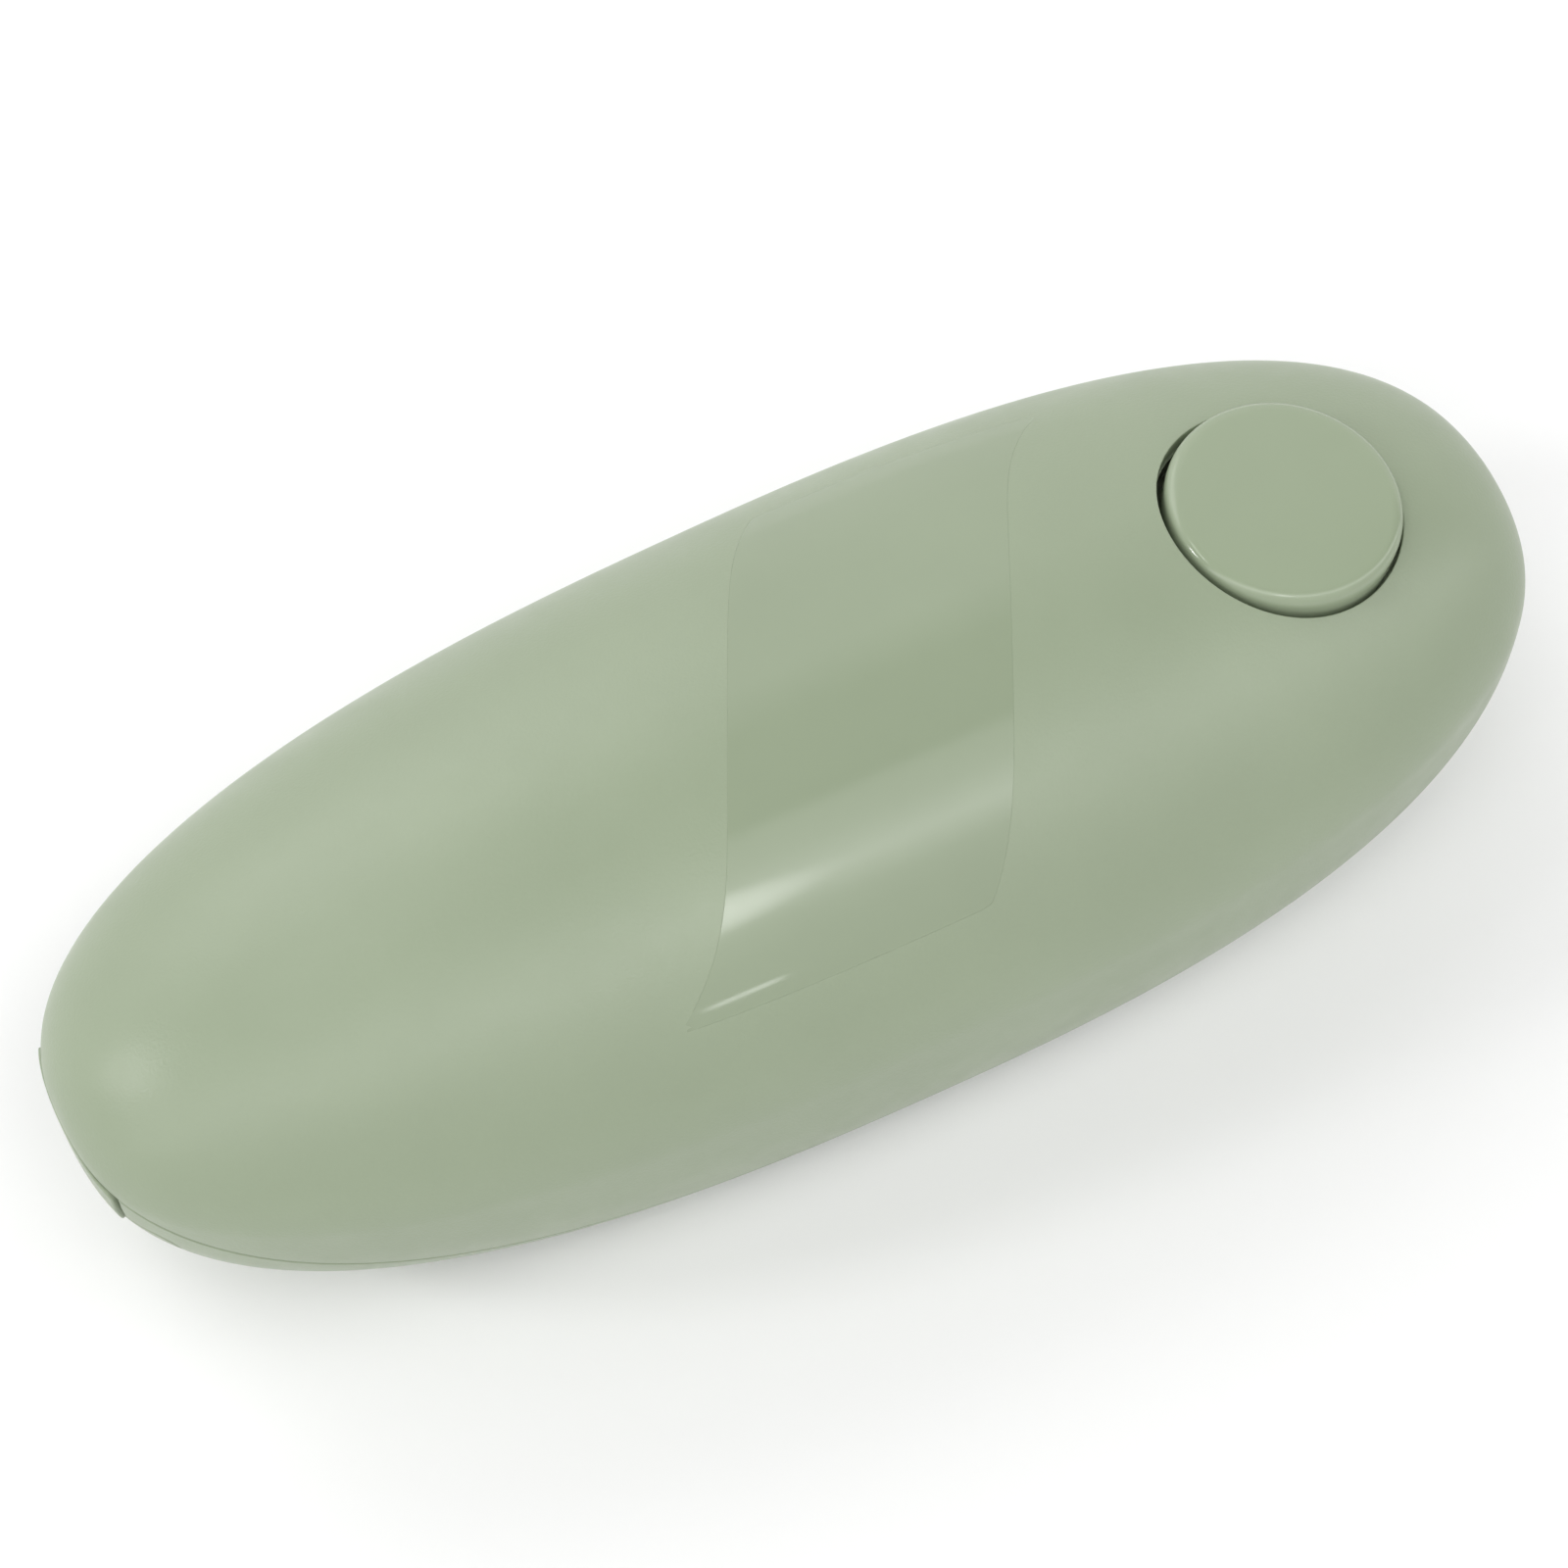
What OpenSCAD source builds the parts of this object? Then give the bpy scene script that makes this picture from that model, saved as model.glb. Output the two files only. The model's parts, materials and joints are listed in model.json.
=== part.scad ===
// Hands-free electric can opener: a long egg-shaped two-part casing over a battery-powered
// gear train, with a start button over the cutting head.
// +X points to the cutting head, +Z up. The origin is on the surface it stands on, mid-length.

/* [Casing] */
// Overall length
body_len = 186; // [184:1:190]
// Half of the casing's width at mid-length
half_w = 36; // [36:0.5:38]
// Height of the dome above the widest line
dome_h = 22.7; // [22:0.1:25]
// Depth of the lower casing below the widest line
keel_h = 34.5; // [34:0.1:36]
// Height of the widest line above the surface
eq_z = 33.5; // [33:0.1:34]
// How much the head end is fuller than the tail
egg = 0.058; // [0.04:0.002:0.07]
// Thickness of the casing walls
wall = 2.2; // [1.8:0.1:2.4]
// How far the parting line dips below its height at the ends
seam_dip = 19; // [17:0.5:20]

/* [Start button] */
// Radius of the button cap
cap_r = 14.1; // [13:0.1:14.5]
// Distance of the button's axis from mid-length
button_x = 63.2; // [62:0.2:64]
// Tilt of the button towards the head
button_tilt = 7.1; // [6:0.1:8]

/* [Gloss band] */
// Width of the glossy band along the casing
band_w = 36; // [30:0.5:40]
// Distance of the band's centre from mid-length
band_x = 9; // [5:0.5:12]
// Slant of the band: shift along the casing for each unit across it
band_slant = 0.5; // [0.4:0.02:0.6]
// Thickness of the band's moulding
band_t = 1; // [0.8:0.1:1.2]

/* [Cutting head] */
// Distance of the drive wheel's axis from mid-length
drive_x = 46; // [45.5:0.1:46.5]
// Radius of the drive wheel over its teeth
drive_r = 6.5; // [6:0.1:6.8]
// Radius of the cutting wheel
cutter_r = 8; // [7.5:0.1:8]
// Gap between the two wheels when open
rim_gap = 4.6; // [4.4:0.1:4.8]

/* [Motor] */
// Radius of the motor's can
motor_r = 12.2; // [11.6:0.1:12.2]

/* [Hidden] */

$fn = 48;
eps = 0.01;
run_fit = 0.05;
far = 300;

// Casing form: superellipse powers in plan, in side view and across the dome and the keel
half_len = body_len / 2;
plan_power = 2.516;
side_power = 2.374;
dome_power = 1.9;
keel_power = 3;
seam_power = 3;
seam_rise = 1;
seam_gap = 0.3;

// Underside
floor_z = 0.8;
deck_z = 7;
deck_start = -28;
fence_in_r = 21;
fence_t = 4.4;
fence_x = 58;
fence_half_angle = 30;
fence_h = 20;
fence_foot_angle = 20;
fence_foot_r = 1.5;
foot_r = 3;
foot_h = 3.4;
tail_foot = [-37, 19.5];

// Gloss band
band_low = 13.3;
band_half_y = 28.5;
band_sweep = [3, 8.5];

// Battery door and cells
door_half_w = 15.5;
door_end_x = -20;
door_gap = 0.35;
door_rise = 27.5;
lip_half_w = 10.5;
lip_l = 11;
lip_low = 21.5;
lip_overlap = 1;
lip_spread = 1.12;
lip_t = 1.6;
cell_r = 7.15;
cell_l = 50.5;
cell_x = -70.6;
cell_y = 7.4;
cell_z = [18.4, 33];
cell_nub_r = 2.6;
cell_nub_h = 1;
tray_wall = 1.2;
contact_t = 0.4;
contact_half_w = 5.5;
tray_half_w = 16.8;
tray_z = 16.5;
tray_top = 41.6;
tray_end = [-73.4, -16.2];

// Button, switch and board, measured down the button's own axis
cap_proud = 0.4;
cap_h = 3.4;
cap_gap = 0.65;
well_shift = 0.35;
cap_edge_r = 1.3;
cap_skirt = 1.8;
cap_wall = 1.6;
stem_r = 3.5;
stem_end = 14.3;
stem_gap = 0.4;
nub_r = 1;
nub_l = 1.2;
well_floor = 8.3;
well_wall = 1.2;
spring_r = 5.2;
spring_wire = 0.8;
lever_arm = 9;
lever_l = 10;
lever_w = 2;
lever_t = 0.4;
lever_pin_r = 0.7;
lever_angle = 16.5;
lever_z = -17.7;
switch_size = [12.8, 5.8, 6.2];
board_top = -24.4;
board_size = [30, 30, 1.6];
post_y = 12;
post_r = 2.6;
board_screw_r = 0.9;
screw_slack = 0.1;

// Gear train: heights from the surface, and wheel centres along a shallow zigzag
plate_t = 1.5;
lower_plate_z = 9.5;
upper_plate_z = 20.5;
plate_tail = -11;
plate_half_w = 23.6;
pinion_teeth = 10;
wheel_teeth = [50, 44, 34];
gear_module = [0.5, 0.6, 0.75];
level_z = [17.6, 14.5, 11.4];
level_gap = 0.2;
gear_t = 2.4;
leg_angle = [12, -22];
tooth_thin = 0.82;
addendum = 0.85;
dedendum = 1.2;
pressure_angle = 20;
function pitch_r(teeth, m) = teeth * m / 2;
pair_gap = [for (i = [0:2]) pitch_r(pinion_teeth + wheel_teeth[i], gear_module[i])];
last_leg_angle = asin(-(pair_gap[0] * sin(leg_angle[0]) + pair_gap[1] * sin(leg_angle[1])) / pair_gap[2]);
leg = [leg_angle[0], leg_angle[1], last_leg_angle];
function step_along(i) = pair_gap[i] * [cos(leg[i]), sin(leg[i])];
output_at = [drive_x, 0];
gear_2_at = output_at - step_along(2);
gear_1_at = gear_2_at - step_along(1);
motor_at = gear_1_at - step_along(0);
axle_r = [1, 1.5];
output_r = 2.4;
output_hub_r = 5;
bush_r = [3.7, 4.7];
bush_flange_r = [4.8, 5.6];
bush_flange_t = 0.6;
pillar_at = [[3, 17], [3, -17], [36, 19.5], [36, -20], [58, -14.5]];
pillar_r = 2.4;
pillar_bore = 1.3;
pillar_screw_r = 1.2;

// Motor
motor_wall = 0.8;
motor_top = 48.6;
motor_boss_r = 3;
motor_cap_h = 2.4;
motor_shaft_r = 1;
rotor_r = 8.2;
rotor_h = 14;
rotor_slot_w = 1.6;
rotor_core_r = 2.6;
commutator_r = 3;
commutator_h = 5;
motor_magnet_t = 2.6;
motor_magnet_h = 18;
lead_r = 0.7;

// Cutting head, from the surface up
cutter_z = 2.2;
cutter_t = 1.6;
cutter_pin_r = 2;
cutter_screw_z = 0.3;
wheel_z = 2.9;
drive_t = 2.3;
cam_z = 4.6;
cam_t = 1;
cam_at = [62, 10];
cam_shaft_r = 3.5;
base_z = 6;
base_t = 1;
base_screw_at = [[40, 15], [40, -15], [52, -14]];
base_screw_r = 1.2;
open_dist = drive_r + cutter_r + rim_gap;
cutter_open = [drive_x + open_dist, 0];
cam_len = norm(cutter_open - cam_at);
cam_angle = atan2(cutter_open[1] - cam_at[1], cutter_open[0] - cam_at[0]);
magnet_at = [24, 0];
magnet_r = 7;
magnet_z = 2;
magnet_h = 2.4;
magnet_pin_r = 2.4;
holder_r = 8.6;
housing_screw_at = [[-50, 22.5], [-50, -22.5], [24, 26.5], [24, -26.5]];
housing_screw_r = 1.4;
screw_head_h = 1.4;
boss_r = 3.2;

sage = [0.64, 0.69, 0.58];
steel = [0.72, 0.73, 0.75];
nylon = [0.9, 0.89, 0.84];

// ---------- casing form ----------

function taper(s, power) = pow(max(0, 1 - pow(abs(s), power)), 1 / power);
function signed_pow(v, power) = sign(v) * pow(abs(v), power);
function seam_z(x) = eq_z + seam_rise - seam_dip * (1 - pow(min(1, abs(x) / half_len), seam_power));
function dome_z(x) = eq_z + dome_h * taper(x / half_len, side_power);

function ring_point(s, a, inset) =
    let (c = cos(a), q = sin(a), power = q >= 0 ? dome_power : keel_power)
    let (w = max(0.05, (half_w - inset) * taper(s, plan_power) * (1 + egg * s)))
    let (h = max(0.05, ((q >= 0 ? dome_h : keel_h) - inset) * taper(s, side_power)))
    [(half_len - inset) * s, w * signed_pow(c, 2 / power), h * signed_pow(q, 2 / power)];

// The casing's whole outer form, or with an inset the form of its hollow
module egg_form(inset = 0, rings = 36, sides = 40) {
    ring_pts = [
        for (i = [1:rings - 1], j = [0:sides - 1]) ring_point(-cos(180 * i / rings), 360 * j / sides, inset)
    ];
    tail_pole = len(ring_pts);
    head_pole = tail_pole + 1;
    skins = [
        for (i = [0:rings - 3], j = [0:sides - 1])
            let (k = (j + 1) % sides)
            [(i + 1) * sides + j, (i + 1) * sides + k, i * sides + k, i * sides + j]
    ];
    ends = [
        for (j = [0:sides - 1])
            let (k = (j + 1) % sides)
            each [[tail_pole, j, k], [head_pole, (rings - 2) * sides + k, (rings - 2) * sides + j]]
    ];
    translate([0, 0, eq_z])
        polyhedron(
            points = concat(ring_pts, [[-(half_len - inset), 0, 0], [half_len - inset, 0, 0]]),
            faces = concat(skins, ends),
            convexity = 4
        );
}

// Everything above or below the parting line
module seam_side(above) {
    steps = 32;
    line = [for (i = [0:steps]) let (x = half_len * (2 * i / steps - 1)) [x, seam_z(x)]];
    rim = concat([[-far, seam_z(half_len)]], line, [[far, seam_z(half_len)]]);
    side_z = above ? far : -far;
    rotate([90, 0, 0])
        linear_extrude(height = far, center = true)
            polygon(concat(rim, [[far, side_z], [-far, side_z]]));
}

module box(low, high) {
    translate(low)
        cube(high - low);
}

// The band's edge turns further along the casing as it runs down the flank
function band_edge(y, sweep) = band_w / 2 - band_slant * y - sweep * pow(y / band_half_y, 6);

// The slanted strip across the dome that the gloss band fills
module band_zone(margin = 0) {
    steps = 12;
    reach = [for (i = [0:steps]) band_half_y * i / steps];
    head_edge = [for (y = reach) [band_edge(y, band_sweep[0]) + margin, -y]];
    tail_edge = [for (y = reach) [band_edge(-y, -band_sweep[1]) + margin, y]];
    half = concat([for (i = [steps:-1:1]) head_edge[i]], tail_edge);
    translate([band_x, 0, eq_z + band_low])
        linear_extrude(height = dome_h)
            polygon(concat(half, [for (p = half) -p]));
}

// Battery door outline: a straight strip under the tail, with a lip up to the parting line
module door_zone(margin = 0) {
    box([-far, -door_half_w - margin, -1], [door_end_x + margin, door_half_w + margin, door_rise]);
    lip_zone(margin);
}

module lip_zone(margin = 0) {
    w = lip_half_w + margin;
    box([-far, -w, lip_low], [-half_len + lip_l + margin, w, far]);
}

module on_button_axis() {
    translate([button_x, 0, dome_z(button_x) + cap_proud])
        rotate([0, button_tilt, 0])
            children();
}

module ring(r_out, r_in, h) {
    difference() {
        cylinder(r = r_out, h = h);
        translate([0, 0, -1])
            cylinder(r = r_in, h = h + 2);
    }
}

// A round wire along a helix that narrows from r_start to r_end
module coil(r_start, r_end, wire_r, height, turns) {
    per_turn = 14;
    sides = 5;
    n = turns * per_turn;
    pts = [
        for (i = [0:n], j = [0:sides - 1])
            let (t = i / n, a = 360 * turns * t, b = 360 * j / sides)
            let (r = r_start + (r_end - r_start) * t + wire_r * cos(b))
            [r * cos(a), r * sin(a), wire_r + (height - 2 * wire_r) * t + wire_r * sin(b)]
    ];
    skins = [
        for (i = [0:n - 1], j = [0:sides - 1])
            let (k = (j + 1) % sides)
            [i * sides + j, i * sides + k, (i + 1) * sides + k, (i + 1) * sides + j]
    ];
    first_end = [for (j = [0:sides - 1]) sides - 1 - j];
    last_end = [for (j = [0:sides - 1]) n * sides + j];
    polyhedron(points = pts, faces = concat([first_end], skins, [last_end]), convexity = 8);
}

// Turned screw: shank up along +Z from its head at z = 0
module screw(shank_r, shank_l, head_r, head_h) {
    slot_w = head_r * 0.32;
    slot_l = head_r * 1.3;
    difference() {
        union() {
            cylinder(r = head_r, h = head_h);
            cylinder(r = shank_r, h = head_h + shank_l);
        }
        for (a = [0, 90])
            rotate(a)
                translate([-slot_l / 2, -slot_w / 2, -1])
                    cube([slot_l, slot_w, 1 + head_h * 0.5]);
    }
}

// ---------- casing ----------

module boss_post(at, low, high) {
    translate([at[0], at[1], low])
        cylinder(r = boss_r, h = high - low, $fn = 20);
}

// The well sits a little towards the tail, so its gap round the cap is widest there
module button_well(r, h_low, h_high) {
    on_button_axis()
        translate([-well_shift, 0, -h_low])
            cylinder(r = r, h = h_low + h_high, $fn = 64);
}

// Hollow under the dome, round the button's well, the bosses and the board's posts
module dome_hollow() {
    difference() {
        egg_form(wall, 26, 28);
        button_well(cap_r + cap_gap + well_wall, well_floor + well_wall, 9);
        for (at = housing_screw_at)
            boss_post(at, seam_z(at[0]) + 1, far);
        on_button_axis()
            for (side = [-1, 1])
                translate([0, side * post_y, board_top])
                    cylinder(r = post_r, h = -board_top - well_floor, $fn = 16);
    }
}

module top_shell() {
    color(sage)
        resize([0, 0, 0])
            difference() {
                intersection() {
                    egg_form();
                    translate([0, 0, seam_gap / 2])
                        seam_side(true);
                }
                band_pocket();
                dome_hollow();
                button_well(cap_r + cap_gap, well_floor, 9);
                on_button_axis() {
                    translate([0, 0, -well_floor - 5])
                        cylinder(r = stem_r + stem_gap, h = 10, $fn = 32);
                    for (side = [-1, 1])
                        translate([0, side * post_y, board_top - 1])
                            cylinder(r = board_screw_r + screw_slack, h = 8, $fn = 12);
                }
                for (at = housing_screw_at)
                    translate([at[0], at[1], 0])
                        cylinder(r = housing_screw_r + screw_slack, h = seam_z(at[0]) + 12, $fn = 12);
            }
}

// The recess that the gloss band sits in
module band_pocket() {
    intersection() {
        band_zone();
        difference() {
            egg_form(-1);
            egg_form(band_t);
        }
    }
}

module gloss_band() {
    color([0.62, 0.68, 0.56])
        resize([0, 0, 0])
            intersection() {
                band_zone(-0.05);
                difference() {
                    egg_form();
                    egg_form(band_t);
                }
            }
}

// Strip of width t along an arc of radius r, with round ends
module arc_strip(r, t, half_angle) {
    steps = 12;
    angles = [for (i = [0:steps]) half_angle * (2 * i / steps - 1)];
    outer = [for (a = angles) (r + t / 2) * [cos(a), sin(a)]];
    inner = [for (a = angles) (r - t / 2) * [cos(-a), sin(-a)]];
    function end_cap(side) = [
        for (i = [1:steps - 1])
            let (a = side * half_angle + (side > 0 ? 0 : 180) + 180 * i / steps)
            r * [cos(side * half_angle), sin(side * half_angle)] + t / 2 * [cos(a), sin(a)]
    ];
    polygon(concat(outer, end_cap(1), inner, end_cap(-1)));
}

// Crescent fence under the nose that keeps the can in place
module can_fence(height) {
    translate([fence_x, 0, 0.5])
        linear_extrude(height = height)
            arc_strip(fence_in_r + fence_t / 2, fence_t, fence_half_angle);
}

// Hollow of the lower casing, round the posts that carry the gear plates and the screws
module keel_hollow() {
    difference() {
        intersection() {
            egg_form(wall, 26, 28);
            above_underside(wall);
        }
        for (at = housing_screw_at)
            boss_post(at, 0, seam_z(at[0]) + 0.6);
        for (at = pillar_at)
            boss_post(at, 0, lower_plate_z);
    }
}

module bottom_shell() {
    color(sage)
        resize([0, 0, 0])
            difference() {
                union() {
                    lower_form();
                    can_fence(fence_h);
                }
                keel_hollow();
                door_zone(door_gap);
                foot_pockets(0.05);
                for (at = housing_screw_at)
                    translate([at[0], at[1], -1]) {
                        cylinder(r = housing_screw_r + 0.2, h = far, $fn = 12);
                        cylinder(r = 3, h = screw_seat(at) + 1, $fn = 24);
                    }
                for (at = pillar_at)
                    translate([at[0], at[1], deck_z + 0.8])
                        cylinder(r = pillar_screw_r + screw_slack, h = 5, $fn = 12);
                for (at = base_screw_at)
                    translate([at[0], at[1], 0])
                        cylinder(r = base_screw_r + screw_slack, h = deck_z + wall - 0.4, $fn = 12);
                translate([drive_x, 0, 0])
                    cylinder(r = bush_flange_r[0] + 0.4, h = 15, $fn = 32);
                translate([cam_at[0], cam_at[1], 0])
                    cylinder(r = bush_flange_r[1] + 0.4, h = 15, $fn = 32);
                translate([magnet_at[0], magnet_at[1], 0])
                    cylinder(r = magnet_pin_r + screw_slack, h = 15, $fn = 24);
            }
}

// Solid form of the lower casing, from its flat underside to the parting line
module lower_form() {
    intersection() {
        egg_form();
        translate([0, 0, -seam_gap / 2])
            seam_side(false);
        above_underside(0);
    }
}

// Space above the casing's flat underside, which steps up to the deck over the can
module above_underside(lift) {
    rotate([90, 0, 0])
        linear_extrude(height = far, center = true)
            polygon([
                [-far, floor_z + lift],
                [deck_start - lift, floor_z + lift],
                [deck_start + 5 - lift, deck_z + lift],
                [far, deck_z + lift],
                [far, far],
                [-far, far]
            ]);
}

module battery_door() {
    color(sage)
        resize([0, 0, 0])
            union() {
                difference() {
                    intersection() {
                        lower_form();
                        door_zone();
                    }
                    intersection() {
                        egg_form(wall, 26, 28);
                        above_underside(wall);
                    }
                }
                difference() {
                    intersection() {
                        scale([1, lip_spread, 1])
                            egg_form();
                        lip_zone();
                        translate([0, 0, -seam_gap])
                            seam_side(false);
                        box([-far, -far, door_rise - lip_overlap], [far, far, far]);
                    }
                    egg_form(lip_t);
                }
            }
}

module foot_pockets(margin) {
    for (side = [-1, 1])
        translate([tail_foot[0], side * tail_foot[1], -1])
            cylinder(r = foot_r + margin, h = foot_h + 1 + margin, $fn = 32);
    for (side = [-1, 1])
        rotate_about([fence_x, 0], side * fence_foot_angle)
            translate([fence_x + fence_in_r + fence_t / 2, 0, -1])
                cylinder(r = fence_foot_r + margin, h = foot_h + margin, $fn = 24);
}

module rotate_about(at, angle) {
    translate([at[0], at[1], 0])
        rotate(angle)
            translate([-at[0], -at[1], 0])
                children();
}

module rubber_feet() {
    color([0.16, 0.16, 0.16]) {
        for (side = [-1, 1])
            translate([tail_foot[0], side * tail_foot[1], 0])
                cylinder(r = foot_r, h = foot_h);
        for (side = [-1, 1])
            rotate_about([fence_x, 0], side * fence_foot_angle)
                translate([fence_x + fence_in_r + fence_t / 2, 0, 0])
                    cylinder(r = fence_foot_r, h = foot_h - 1);
    }
}

// Height at which a casing screw's head bears on the lower casing
function screw_seat(at) = screw_head_h + (at[0] < 0 ? 9.6 : deck_z + 0.8);

module housing_screws() {
    color(steel)
        for (at = housing_screw_at)
            translate([at[0], at[1], screw_seat(at) - screw_head_h])
                screw(housing_screw_r, seam_z(at[0]) + 9 - screw_seat(at), 2.7, screw_head_h);
}

// ---------- button and switch ----------

module start_button() {
    color([0.65, 0.7, 0.6])
        on_button_axis()
            rotate_extrude($fn = 96)
                union() {
                    difference() {
                        translate([0, -cap_h - cap_skirt])
                            square([cap_r, cap_h + cap_skirt]);
                        translate([0, -cap_h - cap_skirt - eps])
                            square([cap_r - cap_wall, cap_skirt + eps]);
                        translate([cap_r - cap_edge_r, -cap_edge_r])
                            difference() {
                                square([cap_edge_r + 1, cap_edge_r + 1]);
                                circle(r = cap_edge_r, $fn = 64);
                            }
                    }
                    translate([0, nub_l - stem_end])
                        square([stem_r, stem_end - nub_l - cap_h + eps]);
                    translate([0, -stem_end])
                        square([nub_r, nub_l + eps]);
                }
}

module button_spring() {
    color(steel)
        on_button_axis()
            translate([0, 0, -well_floor + eps])
                coil(spring_r, spring_r, spring_wire / 2, well_floor - cap_h - 2 * eps, 3);
}

module switch_body() {
    size = switch_size;
    color([0.12, 0.12, 0.13])
        on_button_axis()
            difference() {
                translate([-lever_arm - 1.5, -size[1] / 2, board_top])
                    cube(size);
                translate([-lever_arm, 0, lever_z])
                    rotate([90, 0, 0])
                        cylinder(r = lever_pin_r + 0.4, h = lever_w + 0.4, center = true);
                translate([-lever_arm, -lever_w / 2 - 0.2, lever_z - lever_t / 2 - 0.1])
                    cube([size[0], lever_w + 0.4, 3]);
            }
}

module switch_lever() {
    color(steel)
        on_button_axis()
            translate([-lever_arm, 0, lever_z])
                rotate([0, -lever_angle, 0]) {
                    translate([0, -lever_w / 2, -lever_t / 2])
                        cube([lever_l, lever_w, lever_t]);
                    rotate([90, 0, 0])
                        cylinder(r = lever_pin_r, h = lever_w, center = true);
                }
}

module circuit_board() {
    color([0.1, 0.36, 0.2])
        on_button_axis()
            difference() {
                translate([-board_size[0] / 2 - 1, -board_size[1] / 2, board_top - board_size[2]])
                    cube(board_size);
                for (side = [-1, 1])
                    translate([0, side * post_y, board_top - 3])
                        cylinder(r = board_screw_r + 0.2, h = 6);
            }
}

module board_screws() {
    color(steel)
        on_button_axis()
            for (side = [-1, 1])
                translate([0, side * post_y, board_top - board_size[2] - 1])
                    screw(board_screw_r, 6, 1.8, 1);
}

// ---------- battery bay ----------

module cell_channel(y, r) {
    low = cell_z[0] - r - 5;
    translate([tray_end[0] - 1, y, cell_z[1]])
        rotate([0, 90, 0])
            cylinder(r = r, h = far);
    box([tray_end[0] - 1, y - r, low], [far, y + r, cell_z[1]]);
}

module battery_tray() {
    color([0.25, 0.26, 0.27])
        difference() {
            box([tray_end[0], -tray_half_w, tray_z], [tray_end[1], tray_half_w, tray_top]);
            intersection() {
                union() {
                    for (side = [-1, 1])
                        cell_channel(side * cell_y, cell_r + 0.1);
                }
                box([tray_end[0] + tray_wall, -far, 0], [tray_end[1] - tray_wall, far, far]);
            }
        }
}

module battery_cells() {
    color([0.2, 0.36, 0.5])
        for (z = cell_z, side = [-1, 1])
            translate([cell_x + (side > 0 ? 0 : cell_l), side * cell_y, z])
                rotate([0, side > 0 ? 90 : -90, 0]) {
                    cylinder(r = cell_r, h = cell_l - cell_nub_h);
                    cylinder(r = cell_nub_r, h = cell_l);
                }
}

// Each spring presses on the flat end of its cell
module contact_springs() {
    gap_l = cell_x - tray_end[0] - tray_wall - contact_t;
    gap_r = tray_end[1] - tray_wall - contact_t - cell_x - cell_l;
    color(steel)
        for (z = cell_z) {
            translate([cell_x - gap_l + eps, cell_y, z])
                rotate([0, 90, 0])
                    coil(4.6, 2.6, 0.3, gap_l - 2 * eps, 1.5);
            translate([cell_x + cell_l + gap_r - eps, -cell_y, z])
                rotate([0, -90, 0])
                    coil(4.6, 2.6, 0.3, gap_r - 2 * eps, 2.5);
        }
}

module contact_plates() {
    color(steel)
        for (end = [0, 1], side = [-1, 1])
            let (x = end == 0 ? tray_end[0] + tray_wall : tray_end[1] - tray_wall - contact_t)
            let (low = [x, side * cell_y - contact_half_w, cell_z[0] - contact_t])
            box(low, low + [contact_t, 2 * contact_half_w, cell_z[1] - cell_z[0] + contact_half_w]);
}

// A wire swept along a route of points
module wire(route, r) {
    sides = 8;
    n = len(route);
    pts = [
        for (i = [0:n - 1])
            let (ahead = route[min(n - 1, i + 1)] - route[max(0, i - 1)])
            let (dir = ahead / norm(ahead))
            let (side_raw = cross(dir, abs(dir[1]) < 0.9 ? [0, 1, 0] : [1, 0, 0]))
            let (u = side_raw / norm(side_raw), v = cross(dir, u))
            for (j = [0:sides - 1])
                route[i] + r * (cos(360 * j / sides) * u + sin(360 * j / sides) * v)
    ];
    skins = [
        for (i = [0:n - 2], j = [0:sides - 1])
            let (k = (j + 1) % sides)
            [i * sides + j, (i + 1) * sides + j, (i + 1) * sides + k, i * sides + k]
    ];
    first_end = [for (j = [0:sides - 1]) j];
    last_end = [for (j = [0:sides - 1]) n * sides - 1 - j];
    polyhedron(points = pts, faces = concat([first_end], skins, [last_end]), convexity = 8);
}

function blend(a, b, c, t) = (1 - t) * (1 - t) * a + 2 * t * (1 - t) * b + t * t * c;
function bend_route(a, b, c, n) = [for (i = [0:n]) blend(a, b, c, i / n)];

// Leads from the battery contacts and the motor to the board
module motor_leads() {
    start = [motor_at[0] + 4, 6, motor_top + motor_cap_h + lead_r + 0.1];
    peak = [26, 8.5, start[2] + 1.2];
    end = [button_x - 13, 8, 33];
    color([0.7, 0.12, 0.1])
        for (side = [-1, 1])
            scale([1, side, 1])
                wire(bend_route(start, peak, end, 14), lead_r);
}

// ---------- motor ----------

module at_xy(at, z) {
    translate([at[0], at[1], z])
        children();
}

module motor_can() {
    low = upper_plate_z + plate_t;
    color(steel)
        at_xy(motor_at, low)
            difference() {
                union() {
                    cylinder(r = motor_r, h = motor_top - low);
                    translate([0, 0, -plate_t])
                        cylinder(r = motor_boss_r, h = plate_t + 1);
                }
                translate([0, 0, motor_wall])
                    cylinder(r = motor_r - motor_wall, h = far);
                translate([0, 0, -plate_t - 1])
                    cylinder(r = motor_shaft_r + run_fit, h = 9);
            }
}

module motor_end_cap() {
    color([0.15, 0.15, 0.16])
        at_xy(motor_at, motor_top)
            difference() {
                union() {
                    cylinder(r = motor_r - 0.6, h = motor_cap_h);
                    translate([0, 0, -1.5])
                        cylinder(r = motor_r - motor_wall, h = 1.6);
                }
                translate([0, 0, -2])
                    cylinder(r = motor_shaft_r + run_fit, h = 3.2);
            }
}

module motor_magnets() {
    low = upper_plate_z + plate_t + 4;
    outer = motor_r - motor_wall - run_fit;
    color([0.25, 0.25, 0.27])
        at_xy(motor_at, low)
            for (a = [-60, 120])
                rotate(a)
                    rotate_extrude(angle = 120)
                        translate([outer - motor_magnet_t, 0])
                            square([motor_magnet_t, motor_magnet_h]);
}

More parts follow.
